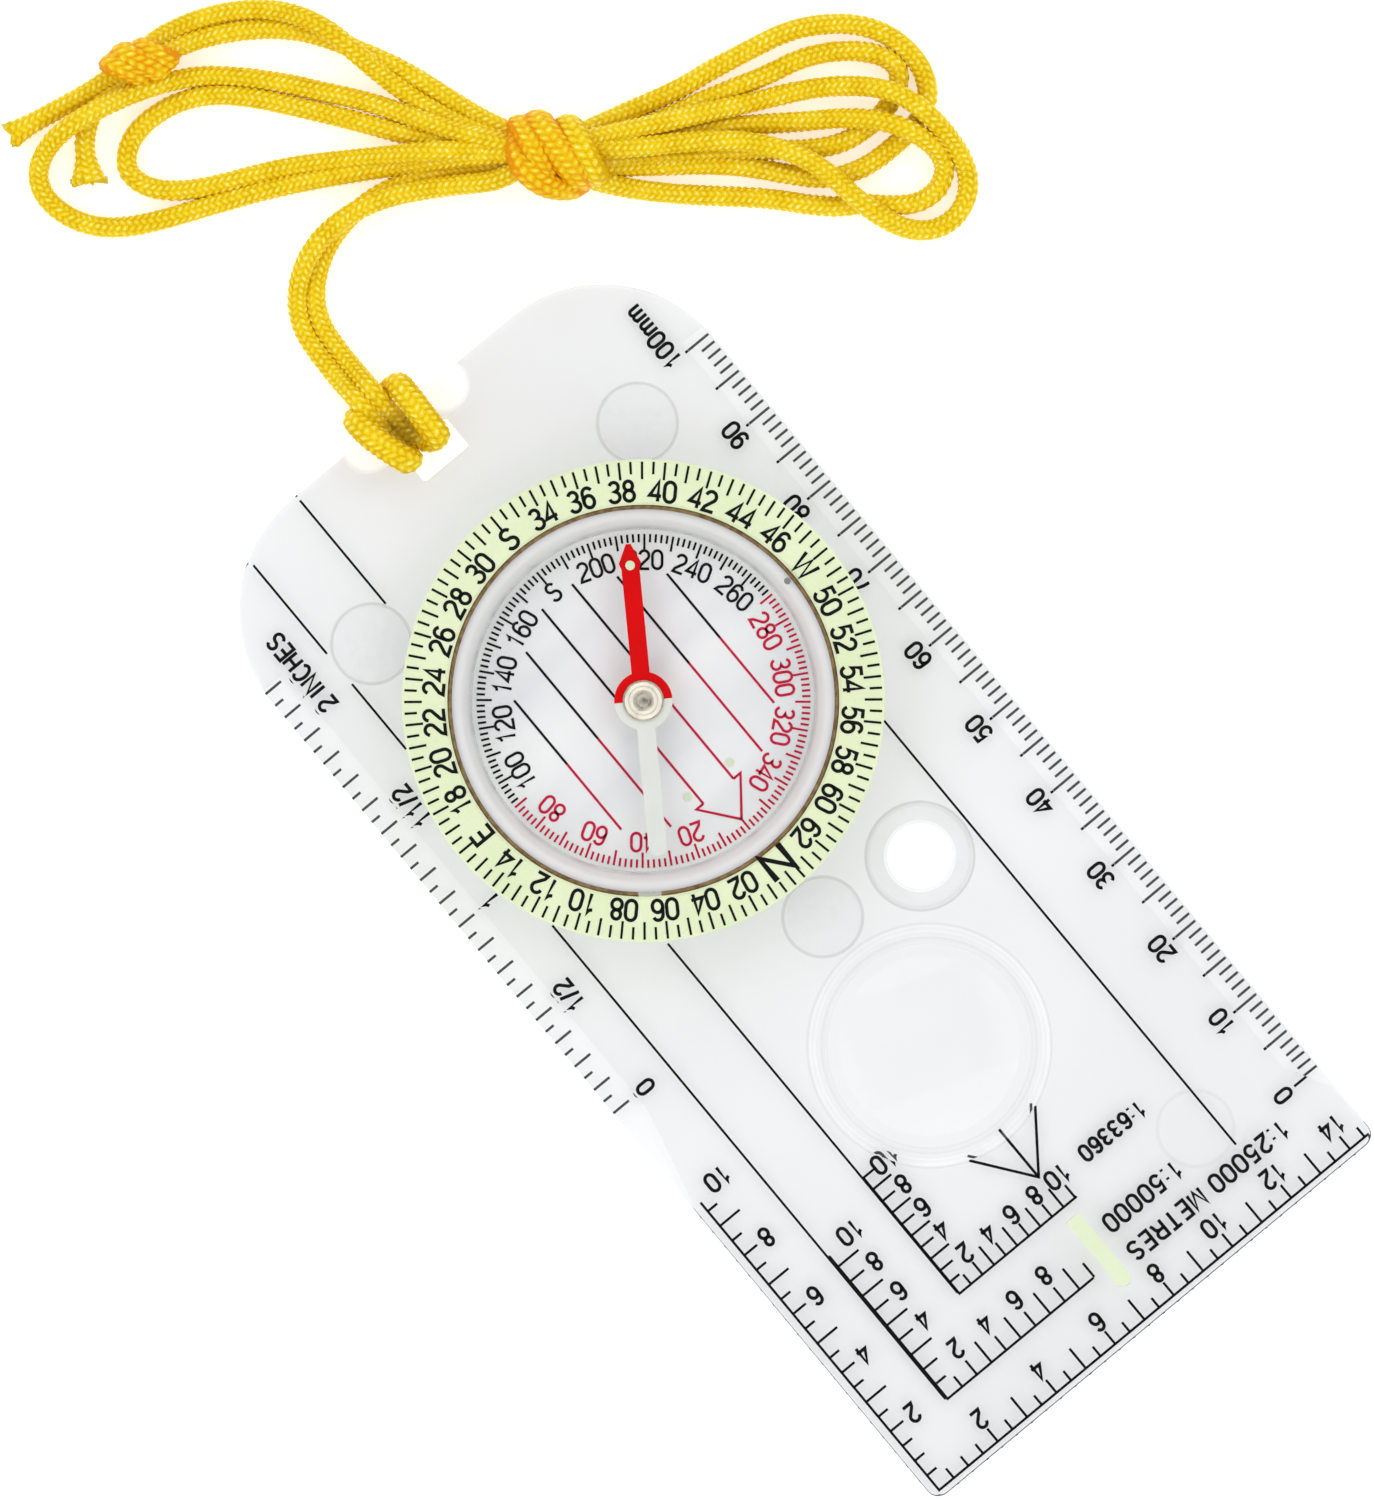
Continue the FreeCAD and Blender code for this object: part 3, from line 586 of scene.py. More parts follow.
@dataclass
class Print:
    """Ink laid as thin closed ribbons, gathered into one mesh."""

    name: str
    look: Look
    body: Body
    slot: str
    top: float
    depth: float = 0.03
    line_width: float = 0.27
    text_width: float = 0.36
    points: list = field(default_factory=list)
    faces: list = field(default_factory=list)

    def ribbon(self, line: list[Flat], width: float) -> None:
        """Lays one line.

        Args:
            line: its points in millimetres.
            width: its width.
        """
        clean = [np.array(line[0])]
        for p in line[1:]:
            if np.linalg.norm(np.array(p) - clean[-1]) > 1e-4:
                clean.append(np.array(p))
        closed = len(clean) > 3 and np.linalg.norm(clean[0] - clean[-1]) < 0.02
        if closed:
            clean.pop()
        count = len(clean)
        first = len(self.points)
        for i, p in enumerate(clean):
            before = clean[i - 1] if i or closed else p
            after = clean[(i + 1) % count] if i < count - 1 or closed else p
            a, b = p - before, after - p
            a = a / np.linalg.norm(a) if np.any(a) else b / np.linalg.norm(b)
            b = b / np.linalg.norm(b) if np.any(b) else a
            mid = a + b
            mid = mid / max(np.linalg.norm(mid), 1e-6)
            side = np.array([-mid[1], mid[0]]) * width / 2 / max(0.5, float(mid @ a))
            for q in (p - side, p + side):
                for z in (self.top, self.top - self.depth):
                    self.points.append((q[0], q[1], z))
        for i in range(count if closed else count - 1):
            c, d = first + 4 * i, first + 4 * ((i + 1) % count)
            self.faces += [(c, d, d + 2, c + 2), (c + 1, c + 3, d + 3, d + 1)]
            self.faces += [(c + 2, d + 2, d + 3, c + 3), (c, c + 1, d + 1, d)]
        if not closed:
            e = first + 4 * (count - 1)
            self.faces += [(first, first + 2, first + 3, first + 1), (e, e + 1, e + 3, e + 2)]

    def line(self, *line: Flat, width: float | None = None) -> None:
        """Lays a straight or bent line in the line width, or another."""
        self.ribbon(list(line), width or self.line_width)

    def text(
        self, words: str, centre: Flat, height: float, turn: float = 0.0, spacing: float = GAP,
        width: float | None = None, stretch: float = 1.0,
    ) -> None:
        """Letters words about a centre.

        Args:
            words: what it says.
            centre: the middle of the lettering.
            height: capital height.
            turn: degrees that the reading line turns from +X.
            spacing: space between letters, as a share of the height.
            width: line width, if not the print's own.
            stretch: how much wider than the plain letter each is.
        """
        total = sum(GLYPHS[c][0] * stretch for c in words) + spacing * (len(words) - 1)
        along, a = -total / 2, math.radians(turn)
        for c in words:
            wide, strokes = GLYPHS[c]
            for stroke in strokes:
                laid = []
                for x, y in stroke_points(stroke):
                    u, v = (along + x * stretch) * height, (y - 0.5) * height
                    east, north = u * math.cos(a) - v * math.sin(a), u * math.sin(a) + v * math.cos(a)
                    laid.append((centre[0] + east, centre[1] + north))
                self.ribbon(laid, width or self.text_width)
            along += wide * stretch + spacing

    def take(self, mesh: bpy.types.Mesh) -> None:
        """Adds a mesh's points, in metres, and faces to the print, and removes the mesh."""
        first = len(self.points)
        self.points += [tuple(x / MM for x in v.co) for v in mesh.vertices]
        self.faces += [tuple(first + i for i in p.vertices) for p in mesh.polygons]
        bpy.data.meshes.remove(mesh)

    def finish(self, drape=None) -> Piece:
        """Makes the piece and sets it riding.

        Args:
            drape: a function of (x, y) that gives the rise of the surface there.

        Returns:
            The piece.
        """
        points = np.array(self.points, float)
        if drape is not None:
            points[:, 2] += [drape(x, y) for x, y in points[:, :2]]
        return keep(piece_from(self.name, points * MM, self.faces, self.look), self.body)


# ---------------------------------------------------------------- tick marks by geometry nodes


class TickTree:
    """A geometry-node tree that sets out tick marks round a ring or along an edge."""

    FLOATS = ("Edge", "Start", "Step", "Short", "Long", "Width", "Depth", "Top")
    WHOLES = ("Count", "Every", "Phase")

    def __init__(self, name: str, ring: bool) -> None:
        """Draws the tree.

        Args:
            name: the tree's name.
            ring: True for ticks round a centre, False for ticks along Y.
        """
        self.ring = ring
        self.tree = tree = bpy.data.node_groups.new(name, "GeometryNodeTree")
        tree.is_modifier = True
        face = tree.interface
        face.new_socket("Geometry", in_out="OUTPUT", socket_type="NodeSocketGeometry")
        self.keys: dict[str, str] = {}
        kinds = (("Int", self.WHOLES), ("Float", self.FLOATS), ("Vector", ("Centre",)), ("Material", ("Ink",)))
        for kind, labels in kinds:
            for label in labels:
                made = face.new_socket(label, in_out="INPUT", socket_type="NodeSocket" + kind)
                self.keys[label] = made.identifier
        given = add(tree, "NodeGroupInput").outputs
        index = add(tree, "GeometryNodeInputIndex").outputs[0]
        rest = maths(tree, "MODULO", maths(tree, "ADD", index, given["Phase"]), given["Every"])
        is_long = maths(tree, "LESS_THAN", rest, 0.5)
        extra = maths(tree, "MULTIPLY", is_long, maths(tree, "SUBTRACT", given["Long"], given["Short"]))
        length = maths(tree, "ADD", given["Short"], extra)
        along = maths(tree, "ADD", given["Start"], maths(tree, "MULTIPLY", index, given["Step"]))
        middle = maths(tree, "SUBTRACT", given["Edge"], maths(tree, "MULTIPLY", length, 0.5))
        height = maths(tree, "SUBTRACT", given["Top"], maths(tree, "MULTIPLY", given["Depth"], 0.5))
        if ring:
            x = maths(tree, "MULTIPLY", middle, maths(tree, "SINE", along))
            y = maths(tree, "MULTIPLY", middle, maths(tree, "COSINE", along))
            turn = add(tree, "ShaderNodeCombineXYZ", {"Z": maths(tree, "SUBTRACT", math.pi / 2, along)}).outputs[0]
        else:
            x, y, turn = middle, along, (0.0, 0.0, 0.0)
        spot = add(tree, "ShaderNodeCombineXYZ", {"X": x, "Y": y, "Z": height}).outputs[0]
        place = add(tree, "ShaderNodeVectorMath", {0: spot, 1: given["Centre"]}, operation="ADD").outputs[0]
        points = add(tree, "GeometryNodePoints", {"Count": given["Count"], "Position": place}).outputs[0]
        size = add(tree, "ShaderNodeCombineXYZ", {"X": length, "Y": given["Width"], "Z": given["Depth"]}).outputs[0]
        block = add(tree, "GeometryNodeMeshCube", {"Size": (1, 1, 1)}).outputs[0]
        copies = {"Points": points, "Instance": block, "Rotation": turn, "Scale": size}
        laid = add(tree, "GeometryNodeInstanceOnPoints", copies).outputs[0]
        real = add(tree, "GeometryNodeRealizeInstances", {0: laid}).outputs[0]
        inked = add(tree, "GeometryNodeSetMaterial", {"Geometry": real, "Material": given["Ink"]}).outputs[0]
        add(tree, "NodeGroupOutput", {0: inked})

    def mesh(self, ink: Look, centre: Point, **sizes: float) -> bpy.types.Mesh:
        """Runs the tree once.

        Args:
            ink: the ticks' finish.
            centre: the ring's or edge's origin in millimetres.
            sizes: the tree's inputs by name, in millimetres or radians.

        Returns:
            The ticks as a plain mesh, in metres.
        """
        holder = bpy.data.objects.new("tick_holder", bpy.data.meshes.new("tick_holder"))
        bpy.context.scene.collection.objects.link(holder)
        modifier = holder.modifiers.new("ticks", "NODES")
        modifier.node_group = self.tree
        angles = ("Start", "Step") if self.ring else ()
        for label in self.WHOLES:
            modifier[self.keys[label]] = int(sizes[label])
        for label in self.FLOATS:
            modifier[self.keys[label]] = float(sizes[label]) * (1.0 if label in angles else MM)
        modifier[self.keys["Centre"]] = tuple(x * MM for x in centre)
        modifier[self.keys["Ink"]] = ink.material()
        bpy.context.view_layer.update()
        graph = bpy.context.evaluated_depsgraph_get()
        made = bpy.data.meshes.new_from_object(holder.evaluated_get(graph))
        old = holder.data
        bpy.data.objects.remove(holder)
        bpy.data.meshes.remove(old)
        return made


# ---------------------------------------------------------------- sub-assemblies


@dataclass
class Baseplate:
    """The clear plate: its finishes and everything printed under it."""

    ink_top: float = 0.795
    ink_depth: float = 0.03
    rule_zero: float = 52.5
    inch_zero: float = 9.07
    rule_label: float = 1.9
    romer_label: float = 1.95

    def dress(self) -> None:
        """Gives the plate's carried-over parts their finishes."""
        wear = {
            "baseplate": Look.PLATE, "index_bar": Look.INDEX, "foot_front": Look.FOOT,
            "foot_rear_left": Look.FOOT, "foot_rear_right": Look.FOOT,
        }
        dress_nodes(wear)

    def rules(self, ink: Print) -> None:
        """Lays the millimetre rule and the inch rule."""
        rule = TickTree("rule_ticks", ring=False)
        common = {"Phase": 0, "Width": 0.28, "Depth": self.ink_depth, "Top": self.ink_top}
        for count, every, edge, start, step, short, long in (
            (101, 5, -29.6, self.rule_zero, -1.0, -1.8, -2.9),
            (37, 2, 30.1, self.inch_zero, -25.4 / 16, 1.4, 2.5),
        ):
            ink.take(rule.mesh(
                ink.look, (0.0, 0.0, 0.0), Count=count, Every=every, Edge=edge, Start=start, Step=step,
                Short=short, Long=long, **common,
            ))
        for i in range(10):
            ink.text(str(i * 10), (-25.2, self.rule_zero - 10 * i), self.rule_label, -90)
        ink.text("100mm", (-25.2, -50.9), self.rule_label, -90)
        for words, y in (("0", self.inch_zero), ("1/2", -3.4), ("1", -16.3), ("11/2", -29.2), ("2 INCHES", -47.4)):
            ink.text(words, (25.7, y), self.rule_label, -90, 0.13)

    def romer(
        self, ink: Print, corner: Flat, unit: float, across: float, down: float, heights: Point,
        labels: tuple[range, range], inset: Flat, halves: bool = False,
    ) -> None:
        """Lays one map-scale corner.

        Args:
            ink: the print.
            corner: where its two scales meet.
            unit: millimetres to a unit.
            across: lowest X of the level scale.
            down: lowest Y of the upright scale.
            heights: length of the first or half, even and odd ticks.
            labels: the numbers on the level and upright scales.
            inset: distance of the level and upright numbers from their scale.
            halves: True for ticks at half units too.
        """
        x0, y0 = corner
        small, even, odd = heights
        ink.line((across, y0), (x0, y0), (x0, down))
        per = 2 if halves else 1
        for level, reach in ((True, x0 - across), (False, y0 - down)):
            for i in range(1, int(reach / unit * per + 0.2) + 1):
                whole, far = i % per == 0, i * unit / per
                long = small if not whole or far < 1.2 * unit else (even if (i // per) % 2 == 0 else odd)
                if level:
                    ink.line((x0 - far, y0), (x0 - far, y0 - long))
                else:
                    ink.line((x0, y0 - far), (x0 - long, y0 - far))
        for n in labels[0]:
            ink.text(str(n), (x0 - n * unit, y0 - inset[0]), self.romer_label)
        for n in labels[1]:
            ink.text(str(n), (x0 - inset[1], y0 - n * unit), self.romer_label)

    def draw(self) -> None:
        """Prints the underside of the plate."""
        ink = Print("plate_print", Look.BLACK, Body.BASE, "clear_acrylic", self.ink_top)
        self.rules(ink)
        dy = DIAL_Y
        long_level, short_level, upright = range(2, 15, 2), range(2, 9, 2), range(4, 11, 2)
        self.romer(
            ink, (29.0, 83.5 + dy), 4.0, -29.5, 44.3 + dy, (1.3, 1.75, 2.7), (long_level, range(2, 11, 2)),
            (3.0, 3.0), True,
        )
        self.romer(ink, (22.2, 76.7 + dy), 2.0, 2.3, 57.2 + dy, (1.4, 1.9, 2.8), (short_level, upright), (3.5, 3.3))
        self.romer(
            ink, (14.2, 69.0 + dy), 1.578, -1.8, 53.2 + dy, (1.3, 1.7, 2.5), (range(2, 11, 2), upright), (2.9, 2.8),
        )
        ink.text("1:25000 METRES", (-12.85, 77.3 + dy), 1.9, 0, 0.22, stretch=1.08)
        ink.text("1:50000", (-7.15, 73.4 + dy), 1.9, 0, 0.22, stretch=1.06)
        ink.text("1:63360", (-9.05, 66.1 + dy), 1.7, 0, 0.20)
        tip = (0.0, 64.9 + dy)
        ink.line((-4.5, tip[1] - 6.0), tip, (4.5, tip[1] - 6.0), width=0.3)
        ink.line(tip, (0.0, tip[1] - 6.5), width=0.3)
        for x, y0, y1 in (
            (-18.1, -4.5, 53.3), (14.3, -61.4, -47.3), (14.3, -1.0, 46.6),
            (22.4, -59.3, -47.2), (22.4, -43.1, -34.2), (22.4, -10.2, 54.4),
        ):
            ink.line((x, y0), (x, y1), width=0.25)
        ink.finish()


def dress_nodes(wear: dict[str, Look]) -> None:
    """Puts a finish on each carried-over part.

    Args:
        wear: the finish of each part by its node name.
    """
    for name, look in wear.items():
        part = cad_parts[name]
        part.data.materials.clear()
        part.data.materials.append(look.material())
        LOG.info("%s wears %s", name, look.name.lower())


@dataclass
class Dial:
    """The luminous turning ring, the capsule and what is printed on both."""

    centre: Flat = (DIAL_X, DIAL_Y)
    ring_edge: float = 24.95
    slope_from: float = 24.9
    slope_low: float = 6.45
    slope: float = 0.1084
    disc_top: float = 2.15
    label_radius: float = 21.9

    def dress(self) -> None:
        """Gives the dial's carried-over parts their finishes."""
        dress_nodes({
            "bezel_ring": Look.DIAL, "capsule_dish": Look.DISH, "capsule_lid": Look.LID, "fill_plug": Look.PLUG,
            "snap_ring": Look.WIRE, "scale_disc": Look.DISC, "orienting_dot_left": Look.INDEX,
            "orienting_dot_right": Look.INDEX, "pivot_bush": Look.BRASS, "pivot_pin": Look.STEEL,
        })

    def rise(self, x: float, y: float) -> float:
        """Height of the ring's sloping face over its outer edge at (x, y)."""
        radius = math.hypot(x - self.centre[0], y - self.centre[1])
        return (self.slope_from - radius) * self.slope

    def at(self, bearing: float, radius: float) -> Flat:
        """The point at a bearing in degrees and a radius."""
        a = math.radians(bearing)
        return (self.centre[0] + radius * math.sin(a), self.centre[1] + radius * math.cos(a))

    def draw_ring(self, ticks: TickTree) -> None:
        """Prints the mils scale on the luminous ring."""
        ink = Print("dial_print", Look.BLACK, Body.DIAL, "luminous_dial", self.slope_low + 0.02)
        ink.take(ticks.mesh(
            ink.look, (*self.centre, 0.0), Count=128, Every=2, Phase=0, Edge=self.ring_edge, Start=0.0,
            Step=math.tau / 128, Short=1.3, Long=1.85, Width=0.25, Depth=ink.depth, Top=ink.top,
        ))
        for n in range(2, 64, 2):
            if n % 16:
                bearing = n * 360 / 64
                ink.text(f"{n:02d}", self.at(bearing, self.label_radius), 2.15, -bearing, 0.12)
        for words, bearing, height, width, stretch in (
            ("N", 0, 3.0, 0.66, 1.45), ("E", 90, 2.2, 0.38, 1.1),
            ("S", 180, 2.2, 0.38, 1.1), ("W", 270, 2.2, 0.38, 1.1),
        ):
            ink.text(words, self.at(bearing, self.label_radius), height, -bearing, width=width, stretch=stretch)
        ink.finish(self.rise)

    def draw_disc(self, ticks: TickTree) -> None:
        """Prints the degree scale, the lines and the orienting arrow on the capsule's disc."""
        top = self.disc_top + 0.03
        black = Print("capsule_print_black", Look.BLACK, Body.DIAL, "frosted_disc", top, 0.025)
        red = Print("capsule_print_red", Look.RED, Body.DIAL, "frosted_disc", top, 0.025)
        for ink, count, phase, start in ((red, 91, 0, -90.0), (black, 89, 1, 92.0)):
            ink.take(ticks.mesh(
                ink.look, (*self.centre, 0.0), Count=count, Every=5, Phase=phase, Edge=17.5, Start=math.radians(start),
                Step=math.radians(2.0), Short=0.87, Long=1.6, Width=0.23, Depth=ink.depth, Top=top,
            ))
        for bearing in range(20, 360, 20):
            ink = red if bearing < 90 or bearing > 270 else black
            words = "S" if bearing == 180 else str(bearing)
            ink.text(words, self.at(bearing, 14.8), 1.95, -bearing, 0.12, 0.29)
        cx, cy = self.centre
        for x, low, high in ((10.4, -8.7, 8.9), (6.2, -11.8, 12.0), (2.05, -14.2, 12.3)):
            for side in (-1, 1):
                black.line((cx + side * x, cy + low), (cx + side * x, cy), width=0.26)
                red.line((cx + side * x, cy), (cx + side * x, cy + high), width=0.26)
        for side in (-1, 1):
            red.line((cx + side * 2.05, cy + 12.3), (cx + side * 3.0, cy + 12.3), (cx, cy + 16.1), width=0.28)
        black.finish()
        red.finish()

    def draw(self) -> None:
        """Prints the ring and the disc."""
        ticks = TickTree("ring_ticks", ring=True)
        self.draw_ring(ticks)
        self.draw_disc(ticks)


@dataclass
class Needle:
    """The magnetic needle and its cap."""

    def dress(self) -> None:
        """Gives the needle's parts their finishes."""
        dress_nodes({
            "needle_magnet": Look.STEEL, "needle_red_half": Look.NEEDLE_RED, "needle_white_half": Look.NEEDLE_WHITE,
            "needle_cap": Look.NICKEL, "jewel_cup": Look.JEWEL, "needle_dot": Look.INDEX,
        })


# ---------------------------------------------------------------- lanyard

LEAD_A: list[Point] = [
    (1.0, -60.8, 1.08), (1.05, -62.6, 1.9), (1.1, -64.2, 3.15), (1.15, -66.0, 3.0), (1.2, -68.4, 1.4),
    (1.15, -71.4, 1.05), (0.85, -74.4, 1.05), (-0.7, -77.3, 1.05), (-3.6, -79.6, 1.05), (-7.2, -80.9, 1.05),
    (-11.0, -81.1, 1.05), (-14.8, -80.4, 1.05), (-18.4, -78.9, 1.1), (-21.7, -76.9, 1.7), (-24.8, -75.0, 2.6),
]
LEAD_B: list[Point] = [
    (2.8, -60.8, 1.08), (2.85, -62.6, 1.9), (2.9, -64.2, 3.15), (2.95, -66.0, 3.0), (3.05, -68.4, 1.4),
    (3.0, -71.6, 1.05), (2.7, -75.0, 1.05), (1.1, -78.0, 1.2), (-1.8, -80.2, 2.4), (-5.3, -81.2, 3.15),
    (-9.2, -81.1, 3.15), (-12.9, -80.0, 3.0), (-16.4, -78.2, 2.5), (-19.7, -76.1, 2.9), (-22.9, -73.8, 3.9),
]
FAR_A: list[Point] = [
    (-28.0, -73.6, 3.4), (-31.2, -72.6, 2.8), (-34.2, -71.9, 2.0), (-37.2, -71.1, 1.3), (-40.4, -70.2, 1.05),
    (-44.0, -69.2, 1.05), (-48.0, -68.6, 1.05), (-52.2, -67.7, 1.05), (-56.2, -66.8, 1.05), (-59.6, -65.1, 1.05),
    (-62.4, -62.8, 1.05), (-64.2, -60.2, 1.05), (-65.0, -57.4, 1.05), (-64.9, -54.4, 1.05), (-63.6, -51.9, 1.05),
    (-61.0, -50.5, 1.05), (-57.6, -50.2, 1.05), (-53.6, -50.4, 1.05), (-49.9, -51.9, 1.05), (-47.0, -55.0, 1.05),
    (-44.2, -58.4, 1.05), (-41.0, -61.4, 1.05), (-37.4, -64.2, 1.2), (-34.0, -66.8, 1.7), (-30.9, -69.0, 2.4),
]
FAR_B: list[Point] = [
    (-26.4, -73.2, 4.4), (-30.0, -71.6, 3.6), (-33.4, -70.4, 2.4), (-36.6, -69.2, 1.4), (-40.2, -68.0, 1.05),
    (-44.0, -67.0, 1.05), (-48.2, -65.7, 1.05), (-52.2, -64.4, 1.05), (-55.4, -63.7, 1.05), (-58.4, -62.3, 1.05),
    (-61.0, -60.3, 1.05), (-62.8, -58.0, 1.05), (-63.0, -55.8, 1.05), (-60.8, -54.1, 1.05), (-57.2, -53.4, 1.05),
    (-53.2, -53.9, 1.05), (-49.8, -56.0, 1.05), (-46.8, -58.6, 1.05), (-43.6, -60.9, 1.05), (-40.0, -63.2, 1.05),
    (-36.4, -65.8, 1.4), (-33.0, -68.4, 2.2),
]
NEAR_A: list[Point] = [
    (-28.8, -72.4, 3.6), (-26.2, -76.0, 4.4), (-23.8, -79.3, 3.6), (-21.8, -82.4, 2.4), (-19.7, -86.2, 1.3),
    (-17.4, -89.8, 1.05), (-15.0, -92.8, 1.05), (-12.3, -96.3, 1.05), (-9.4, -99.5, 1.05), (-6.4, -102.2, 1.05),
    (-3.4, -103.9, 1.9), (-0.4, -105.0, 3.0), (2.6, -106.0, 2.6), (5.4, -106.6, 3.15), (8.4, -107.0, 3.15),
    (11.2, -106.8, 1.6), (13.4, -105.7, 1.05), (14.5, -103.8, 1.05), (14.5, -101.6, 1.05), (13.8, -99.3, 1.05),
    (12.3, -97.0, 1.05), (10.0, -95.1, 1.05), (7.2, -93.6, 1.05), (4.0, -92.2, 1.05), (0.0, -90.5, 1.05),
    (-4.0, -88.7, 1.05), (-8.0, -86.6, 1.05), (-12.0, -84.3, 1.05), (-16.0, -81.9, 1.3), (-20.0, -79.3, 2.2),
    (-24.0, -76.6, 3.8), (-27.6, -73.6, 4.8),
]
NEAR_B: list[Point] = [
    (-29.4, -71.6, 3.2), (-26.4, -75.4, 3.0), (-22.6, -79.2, 2.2), (-19.8, -82.4, 1.3), (-17.2, -86.1, 1.05),
    (-14.5, -89.9, 1.05), (-11.7, -93.6, 1.05), (-8.8, -97.3, 1.05), (-5.8, -100.2, 1.05), (-2.4, -101.9, 1.05),
    (1.2, -102.4, 1.05), (4.2, -101.8, 1.05), (6.2, -99.9, 1.05), (6.0, -97.6, 1.05), (4.5, -95.5, 1.05),
    (2.2, -93.7, 1.05), (-0.8, -92.1, 1.05), (-4.4, -90.5, 1.05), (-8.2, -88.5, 1.05), (-12.0, -86.0, 1.05),
    (-15.6, -83.5, 2.0), (-19.4, -80.9, 3.4), (-23.4, -77.7, 3.6), (-27.2, -74.6, 3.2),
]
TOP_A: list[Point] = [
    (-30.6, -72.2, 4.8), (-34.0, -70.6, 4.2), (-37.6, -68.8, 3.4), (-41.0, -67.1, 3.0), (-44.4, -65.5, 2.6),
    (-48.2, -63.6, 1.5), (-52.0, -61.8, 1.05), (-55.2, -60.1, 1.1), (-58.2, -57.8, 1.9), (-60.4, -55.4, 3.1),
    (-61.7, -52.8, 3.2), (-62.3, -49.8, 3.1), (-62.4, -46.8, 1.9), (-62.0, -44.0, 1.1), (-60.6, -41.6, 1.05),
    (-58.0, -40.3, 1.05), (-55.2, -40.6, 1.05), (-53.0, -42.4, 1.1), (-51.6, -45.2, 2.1), (-50.8, -48.2, 3.2),
    (-50.4, -51.2, 3.2), (-49.8, -54.0, 3.2), (-48.4, -56.9, 3.1), (-46.4, -59.7, 2.9), (-43.8, -62.2, 2.9),
    (-40.6, -64.6, 3.0), (-37.0, -66.9, 3.6), (-33.4, -69.4, 4.4),
]
TOP_B: list[Point] = [
    (-30.8, -71.0, 4.0), (-34.4, -69.2, 3.6), (-38.0, -67.2, 2.2), (-41.2, -65.4, 1.4), (-44.4, -63.6, 1.05),
    (-48.2, -60.9, 1.05), (-52.0, -58.1, 1.1), (-55.2, -55.9, 2.0), (-58.0, -53.1, 3.15), (-59.8, -50.2, 3.15),
    (-60.7, -47.4, 1.9), (-60.3, -45.1, 1.1), (-58.2, -43.7, 1.05), (-55.6, -43.9, 1.05), (-53.2, -45.6, 1.05),
    (-51.2, -47.6, 1.05), (-49.0, -48.9, 1.05), (-46.6, -51.2, 1.05), (-44.0, -54.2, 1.05), (-41.0, -57.0, 1.05),
    (-37.4, -60.2, 1.05), (-34.0, -63.6, 1.5), (-31.4, -66.6, 2.8), (-29.4, -69.6, 4.0),
]
END_A: list[Point] = [
    (-29.4, -73.6, 3.4), (-26.6, -78.2, 2.4), (-25.2, -82.0, 1.3), (-24.0, -86.0, 1.05), (-22.5, -90.2, 1.05),
    (-20.4, -94.2, 1.05), (-18.2, -98.2, 1.05), (-15.2, -101.4, 1.05), (-11.6, -103.9, 1.05), (-8.0, -105.7, 1.2),
    (-4.6, -106.6, 1.9), (-2.0, -107.4, 2.6), (0.6, -108.2, 1.5), (3.2, -108.4, 1.1), (6.2, -108.9, 1.05),
    (9.4, -109.6, 1.05), (13.2, -110.3, 1.05),
]
END_B: list[Point] = [
    (-27.4, -75.0, 3.4), (-24.6, -79.2, 2.6), (-23.0, -83.0, 1.4), (-21.6, -87.0, 1.05), (-20.6, -91.2, 1.9),
    (-20.0, -94.8, 3.15), (-19.2, -98.4, 3.15), (-17.3, -101.9, 1.9), (-14.3, -104.7, 1.05), (-10.6, -106.8, 1.05),
    (-6.8, -108.0, 1.2), (-4.0, -108.3, 1.9), (-1.6, -107.2, 2.8), (0.6, -106.4, 1.5), (3.0, -107.0, 1.1),
    (5.4, -106.6, 1.05), (7.4, -105.2, 1.05), (8.8, -103.3, 1.05), (10.0, -101.3, 1.05),
]
HITCH: list[Point] = [
    (0.9, -60.8, 1.08), (0.6, -58.9, 1.1), (-0.3, -57.4, 1.6), (-1.0, -56.9, 3.0), (-1.2, -57.8, 4.3),
    (-1.3, -59.7, 4.5), (-1.4, -61.8, 4.45), (-1.45, -63.6, 3.7), (-1.3, -64.4, 2.2), (-0.4, -64.6, 1.15),
    (1.4, -64.3, 1.05), (3.2, -64.5, 1.1), (4.3, -64.5, 2.1), (4.5, -63.6, 3.5), (4.3, -61.8, 4.45),
    (3.8, -59.7, 4.5), (3.2, -57.8, 4.3), (2.8, -56.9, 3.0), (2.7, -57.4, 1.6), (2.8, -58.9, 1.1), (2.8, -60.8, 1.08),
]


def spline_line(points: list[Point]) -> np.ndarray:
    """Reads the smooth line that a route's points control.

    Args:
        points: the route's points, in millimetres.

    Returns:
        Points along the line, in metres.
    """
    curve = bpy.data.curves.new("route", "CURVE")
    curve.dimensions = "3D"
    curve.resolution_u = 16
    spline = curve.splines.new("NURBS")
    spline.points.add(len(points) - 1)
    for spot, (x, y, z) in zip(spline.points, points):
        spot.co = (x * MM, y * MM, z * MM, 1)
    spline.order_u = 3
    spline.use_endpoint_u = True
    holder = bpy.data.objects.new("route", curve)
    bpy.context.scene.collection.objects.link(holder)
    bpy.context.view_layer.update()
    graph = bpy.context.evaluated_depsgraph_get()
    mesh = bpy.data.meshes.new_from_object(holder.evaluated_get(graph))
    line = np.array([v.co for v in mesh.vertices], float)
    bpy.data.objects.remove(holder)
    bpy.data.curves.remove(curve)
    bpy.data.meshes.remove(mesh)
    return line


